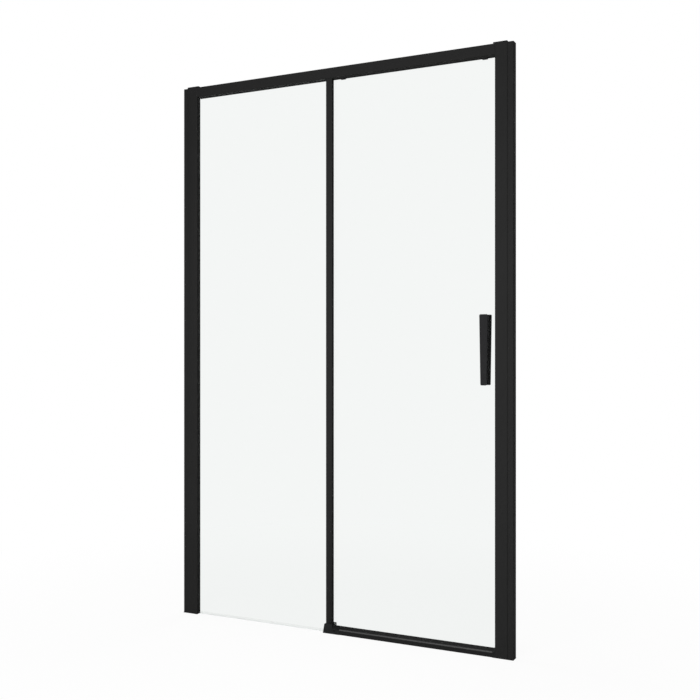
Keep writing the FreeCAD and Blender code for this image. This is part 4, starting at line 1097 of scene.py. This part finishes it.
@dataclass
class SlidingPane:
    """The sliding pane with the seals round three of its edges."""

    front: float = -1.75 * MM
    back: float = 4.25 * MM
    leading: Edge = Edge(place=597.4 * MM, way=1, lap=9.0 * MM)
    trailing: Edge = Edge(place=-29.1 * MM, way=-1, lap=8.0 * MM)
    bottom: Edge = Edge(place=20.0 * MM, way=-1, lap=6.0 * MM)
    seal_levels: Span = (33.9 * MM, 1959.2 * MM)
    wall: float = 0.9 * MM
    # How far the drawn lips and fin end within the solid's.
    play: float = 0.3 * MM
    nose_reach: float = 3.0 * MM
    bulb_reach: float = 3.5 * MM
    # Points down one side: how far short of the tip, and how far in from the side.
    nose_bend: tuple[Span, ...] = ((0.9 * MM, 0.0), (0.2 * MM, 0.5 * MM), (0.0, 1.2 * MM))
    bulb_bend: tuple[Span, ...] = ((0.9 * MM, 0.2 * MM), (0.2 * MM, 1.0 * MM), (0.0, 2.2 * MM))
    fin_reach: float = 3.4 * MM
    # Points of the fin by how far they lie from its root, along the door and out of the shower.
    fin_bend: tuple[Span, ...] = ((0.0, 0.0), (0.1 * MM, 0.9 * MM), (0.5 * MM, 1.8 * MM))
    fin_lean: float = 1.2 * MM
    fin_wall: float = 0.5 * MM

    @property
    def lips(self) -> Span:
        """Middle lines of the walls before and behind the glass."""
        return self.front - self.wall / 2, self.back + self.wall / 2

    def web(self, edge: Edge) -> float:
        """Middle line of the wall along an edge."""
        return edge.place + edge.way * self.wall / 2

    def clip(self, edge: Edge) -> Chain:
        """Lay a chain from one lip round an edge to the other lip.

        Args:
            edge: The edge.

        Returns:
            The chain.
        """
        near, far = self.lips
        lip, web = edge.place - edge.way * (edge.lap - self.play), self.web(edge)
        return [(lip, near), (web, near), (web, far), (lip, far)]

    def hollow(self, edge: Edge, reach: float, bend: Chain) -> Chain:
        """Lay a chain round a hollow tip on an edge's wall, alike on both sides.

        Args:
            edge: The edge.
            reach: How far the tip stands out from it.
            bend: Points down one side: how far short of the tip, and how far in from the side.

        Returns:
            The chain.
        """
        near, far = self.lips
        web, tip = self.web(edge), edge.place + edge.way * (reach - self.wall / 2)
        down = [(tip - edge.way * short, inward) for short, inward in bend]
        return [(web, near), *((at, near + inward) for at, inward in down),
                *((at, far - inward) for at, inward in reversed(down)), (web, far)]

    def fin(self) -> Chain:
        """Lay the chain of the curved fin that meets the edge bar's seal.

        Returns:
            The chain.
        """
        root, near = self.web(self.trailing), self.lips[0]
        tip = (root + self.fin_lean, self.front - self.fin_reach + self.play)
        return [*((root + along, near - out) for along, out in self.fin_bend), tip]

    def build(self) -> None:
        """Make the magnet's seal, the seal with the fin and the drip seal, and dress the rest."""
        upright = (UPRIGHT_RUBBER, Axis.Z, self.seal_levels)
        ends = (self.trailing.place, self.leading.place)
        nose = self.hollow(self.leading, self.nose_reach, self.nose_bend)
        bulb = self.hollow(self.bottom, self.bulb_reach, self.bulb_bend)
        Piece.seal("magnet_seal", *upright, (self.clip(self.leading), self.wall),
                   (nose, self.wall)).done(Body.DOOR, "leading_seal")
        Piece.seal("fin_seal", *upright, (self.clip(self.trailing), self.wall),
                   (self.fin(), self.fin_wall)).done(Body.DOOR, "trailing_seal")
        Piece.seal("drip_seal", VINYL, Axis.X, ends, (self.clip(self.bottom), self.wall),
                   (bulb, self.wall)).done(Body.DOOR, "bottom_seal")
        dress(GLASS, "sliding_pane")
        dress(MAGNET, "leading_magnet")


@dataclass
class Handle:
    """Tapered grips on both faces of the sliding pane, bolted together through it."""

    length: float = 233.5 * MM
    top: float = 29.7 * MM
    bottom: float = 22.0 * MM
    depth: float = 20.0 * MM
    waist: float = 3.0 * MM
    corner: float = 4.0 * MM
    rim: float = 1.5 * MM
    ring: float = 0.8 * MM
    ring_lift: float = 0.1 * MM
    # Lines down the face, by their distance from its middle, and how far each is crowned.
    crown: tuple[Span, ...] = ((-5 * MM, 0.3 * MM), (0.0, 0.4 * MM), (5 * MM, 0.3 * MM))
    place: float = 547.6 * MM
    height: float = 1000.5 * MM
    outer_seat: float = -2.25 * MM
    inner_seat: float = 4.75 * MM
    bolt_spacing: float = 150.0 * MM
    plug_radius: float = 5.0 * MM
    plug_play: float = 0.1 * MM
    plug_depth: float = 2.4 * MM
    plug_round: float = 0.5 * MM
    # Rim, slope and depth of the dish in a plug.
    plug_dish: tuple[float, float, float] = (1.0 * MM, 0.6 * MM, 0.25 * MM)

    def grip(self, name: str, seat: float, out: int) -> Piece:
        """Taper a box, waist it towards the glass, round its corners and rim, and crown its face.

        Args:
            name: Name of the grip.
            seat: Plane of its foot on the pad.
            out: Which way it stands from the glass along Y, -1 or 1.

        Returns:
            The grip.
        """
        face = seat + out * (self.depth - self.ring_lift - max(lift for across, lift in self.crown))
        half = self.length / 2
        grip = Piece.box(name, GRIP_COAT, (self.place - self.top / 2, min(seat, face), self.height - half),
                         (self.place + self.top / 2, max(seat, face), self.height + half))
        grip.pick(Part.CORNERS, lambda middle, normal: middle.z < self.height)
        grip.resize((self.bottom / self.top, 1, 1), (self.place, seat, self.height))
        for end, width in ((-1, self.bottom), (1, self.top)):
            grip.pick(Part.CORNERS, lambda middle, normal:
                      abs(middle.y - seat) < NEAR and (middle.z - self.height) * end > 0)
            grip.resize((1 - 2 * self.waist / width, 1, 1), (self.place, seat, self.height))
            grip.move(Axis.Z.vector * (-end * self.waist))
        for level, width, steps in (((seat + face) / 2, self.corner, 8), (face, self.rim, 5)):
            grip.pick(Part.EDGES, lambda middle, normal: abs(middle.y - level) < NEAR).bevel(width, steps)
        grip.pick_facing(Axis.Y.vector * out).inset(self.ring, self.ring_lift)
        for across, lift in self.crown:
            grip.pick_facing(Axis.Y.vector * out)
            grip.slice((self.place + across, face, self.height), Axis.X.vector)
        for across, lift in self.crown:
            grip.pick(Part.CORNERS, lambda middle, normal:
                      abs(middle.x - self.place - across) < NEAR and (middle.y - face) * out > NEAR)
            grip.move(Axis.Y.vector * (out * lift))
        return grip

    def plugs(self) -> Piece:
        """Model one dished plug with a rounded rim, and copy it to the other bolt.

        Returns:
            The two plugs as one piece.
        """
        face = self.inner_seat + self.depth
        low = Vector((self.place, face - self.plug_depth / 2, self.height - self.bolt_spacing / 2))
        plug = Piece.drum("bolt_plugs", MOULDED, low, self.plug_radius, self.plug_depth)
        plug.pick(Part.EDGES, lambda middle, normal: middle.y > face - NEAR).bevel(self.plug_round, steps=4)
        plug.pick_facing(Axis.Y.vector).dish(*self.plug_dish)
        return plug.repeat([Axis.Z.vector * self.bolt_spacing])

    def build(self) -> None:
        """Make both grips and the plugs, and dress the pads, bolts, inserts and sleeves."""
        self.grip("outer_grip", self.outer_seat, -1).done(Body.DOOR, "outer_handle")
        inner = self.grip("inner_grip", self.inner_seat, 1)
        face = self.inner_seat + self.depth
        for end in (-1, 1):
            place = (self.place, face, self.height + end * self.bolt_spacing / 2)
            inner.carve(Piece.drum("bore", GRIP_COAT, place, self.plug_radius + self.plug_play,
                                   2 * self.plug_depth))
        inner.done(Body.DOOR, "inner_handle")
        self.plugs().done(Body.DOOR, "handle_plugs")
        dress(UPRIGHT_RUBBER, "handle_pads")
        dress(TURNED_STEEL, "handle_bolts")
        dress(BRASS, "handle_inserts")
        dress(ACETAL, "handle_sleeves")


@dataclass
class Hangers:
    """The two folded hangers over the sliding pane's top, with their axles, bushes and four wheels."""

    left: float = 22.4 * MM
    right: float = 545.9 * MM
    front: float = -5.95 * MM
    rear: float = 8.45 * MM
    axle: float = 1973.35 * MM
    radius: float = 12.0 * MM
    width: float = 3.8 * MM
    bore: float = 5.0 * MM
    tread_round: float = 0.7 * MM
    rim: float = 2.2 * MM
    web: float = 2.0 * MM
    web_sink: float = 0.7 * MM
    draft: float = 0.4 * MM

    def wheel(self) -> Piece:
        """Model the left front wheel: rounded tread, a sunk web in both faces, and a bored hub.

        Returns:
            The wheel.
        """
        middle = Vector((self.left, self.front, self.axle))
        wheel = Piece.drum("left_front_roller", ACETAL, middle, self.radius, self.width, sides=96)
        wheel.pick(Part.EDGES, lambda at, normal: abs(abs(at.y - middle.y) - self.width / 2) < NEAR)
        wheel.bevel(self.tread_round, steps=4)
        wheel.pick(Part.FACES, lambda at, normal: abs(normal.y) > FACING)
        wheel.inset(self.rim - self.tread_round).inset(self.draft, -self.web_sink)
        wheel.inset(self.web).inset(self.draft, self.web_sink)
        wheel.inset(self.radius - self.rim - self.web - 2 * self.draft - self.bore)
        bpy.ops.mesh.bridge_edge_loops()
        return wheel

    def build(self) -> None:
        """Make the four wheels, and dress the rest."""
        wheel = self.wheel()
        across, deep = Axis.X.vector * (self.right - self.left), Axis.Y.vector * (self.rear - self.front)
        others = (("left_rear", Body.LEFT_REAR, deep), ("right_front", Body.RIGHT_FRONT, across),
                  ("right_rear", Body.RIGHT_REAR, across + deep))
        for name, body, step in others:
            wheel.copy(name + "_roller", step).done(body, "wheel_" + name)
        wheel.done(Body.LEFT_FRONT, "wheel_left_front")
        dress(BLACK_STEEL, "hanger_saddle_left", "hanger_saddle_right")
        dress(LEVEL_RUBBER, "saddle_pads")
        dress(ACETAL, "eccentric_bushes")
        dress(TURNED_STEEL, "hanger_axles", "retaining_rings", "bearing_inner_rings", "bearing_left_front",
              "bearing_left_rear", "bearing_right_front", "bearing_right_rear")


@dataclass(frozen=True)
class Lamp:
    """A soft box."""

    name: str
    place: Point
    aim: Point
    size: Span
    power: float
    mirrored: bool = False

    def build(self) -> None:
        """Hang the lamp and turn it to its aim."""
        turn = (Vector(self.aim) - Vector(self.place)).to_track_quat("-Z", "Y").to_euler()
        bpy.ops.object.light_add(type="AREA", location=self.place, rotation=turn)
        lamp = bpy.context.active_object
        lamp.name = self.name
        lamp.data.shape = "RECTANGLE"
        lamp.data.size, lamp.data.size_y = self.size
        lamp.data.energy = self.power
        lamp.visible_camera = False
        lamp.visible_transmission = False
        lamp.visible_glossy = self.mirrored


@dataclass
class Studio:
    """A plain pale floor and backdrop, soft lamps at a plain level, and the photograph's viewpoint."""

    lamps: tuple[Lamp, ...] = (
        Lamp("front_lamp", place=(0.25, -2.0, 1.3), aim=(0.25, 0.0, 1.2), size=(1.2, 0.8), power=40.0),
        Lamp("back_lamp", place=(-0.3, 4.4, 1.5), aim=(0.0, 0.0, 1.0), size=(2.6, 1.4), power=105.0),
        Lamp("top_lamp", place=(-1.2, 0.1, 4.0), aim=(0.0, 0.1, 0.0), size=(0.6, 2.4), power=70.0,
             mirrored=True),
    )
    ambient: float = 0.18
    floor_half: float = 8.0
    floor_colour: str = "#d8d8d6"
    floor_shade: float = 0.06
    # The floor's shade is full within the first distance from the door's middle, and ends at the second.
    shade_reach: Span = (0.5, 2.2)
    camera_place: tuple[float, float, float] = (1.5838, -3.0554, 0.99376)
    camera_turn: float = 26.67
    camera_lens: float = 50.0
    camera_sensor: float = 36.0
    camera_shift: float = 0.0027

    @staticmethod
    def seen(tree: Tree) -> Socket:
        """Tell the rays that show a surface, also mirrored or through glass, from those that only light it.

        Args:
            tree: Node tree that takes the nodes.

        Returns:
            The socket: 1 for a ray that shows the surface, otherwise 0.
        """
        path = add_node(tree, "LightPath").outputs
        shown = path["Is Camera Ray"]
        for kind in ("Is Glossy Ray", "Is Transmission Ray"):
            shown = worked(tree, "MAXIMUM", shown, path[kind])
        return worked(tree, "MULTIPLY", shown, worked(tree, "LESS_THAN", path["Diffuse Depth"], 0.5))

    def backdrop(self) -> None:
        """Make the world: white where it is seen, and a soft fill where it only lights."""
        world = bpy.data.worlds.new("backdrop")
        bpy.context.scene.world = world
        tree = clear_tree(world)
        fill, white = [add_node(tree, "Background", {"Color": linear(WHITE), "Strength": light}).outputs[0]
                       for light in (self.ambient, 1.0)]
        shown = add_node(tree, "MixShader", {0: self.seen(tree), 1: fill, 2: white}).outputs[0]
        add_node(tree, "OutputWorld", {"Surface": shown})

    def floor_material(self) -> bpy.types.Material:
        """Make the floor: white where it is seen, with a share of real light near the door for its shadow.

        Returns:
            The material.
        """
        material = bpy.data.materials.new("pale_floor")
        tree = clear_tree(material)
        shading = Shading(tree, add_node(tree, "TexCoord").outputs["Object"])
        away = add_node(tree, "VectorMath", {"operation": "LENGTH", 0: shading.place}).outputs["Value"]
        near = shading.spread(away, (self.floor_shade, 0.0), self.shade_reach, "SMOOTHSTEP")
        lit = add_node(tree, "BsdfDiffuse", {"Color": linear(self.floor_colour)}).outputs[0]
        white = add_node(tree, "Emission", {"Color": linear(WHITE), "Strength": 1.0}).outputs[0]
        shaded = add_node(tree, "MixShader", {0: near, 1: white, 2: lit}).outputs[0]
        shown = add_node(tree, "MixShader", {0: self.seen(tree), 1: lit, 2: shaded}).outputs[0]
        add_node(tree, "OutputMaterial", {"Surface": shown})
        return material

    def build(self) -> None:
        """Lay the floor, hang the lamps and set up the camera."""
        self.backdrop()
        clear_bench()
        bpy.ops.mesh.primitive_plane_add(size=2 * self.floor_half)
        floor = bpy.context.active_object
        floor.name = "floor"
        floor.data.materials.append(self.floor_material())
        for lamp in self.lamps:
            lamp.build()
        bpy.ops.object.camera_add(location=self.camera_place,
                                  rotation=(math.pi / 2, 0.0, math.radians(self.camera_turn)))
        camera = bpy.context.active_object
        camera.data.lens = self.camera_lens
        camera.data.sensor_width = self.camera_sensor
        camera.data.shift_y = self.camera_shift
        bpy.context.scene.camera = camera
        bpy.context.scene.view_settings.view_transform = "Standard"
        LOG.info("set up the studio")


def main() -> None:
    """Build the door's sub-assemblies and the studio in order."""
    logging.basicConfig(level=logging.INFO, format="%(message)s")
    for assembly in (SideFrames(), TopRail(), FixedPane(), Foot(), Threshold(), Strike(), SlidingPane(),
                     Handle(), Hangers(), Studio()):
        LOG.info("-- %s", type(assembly).__name__)
        assembly.build()


if __name__ == "__main__":
    main()
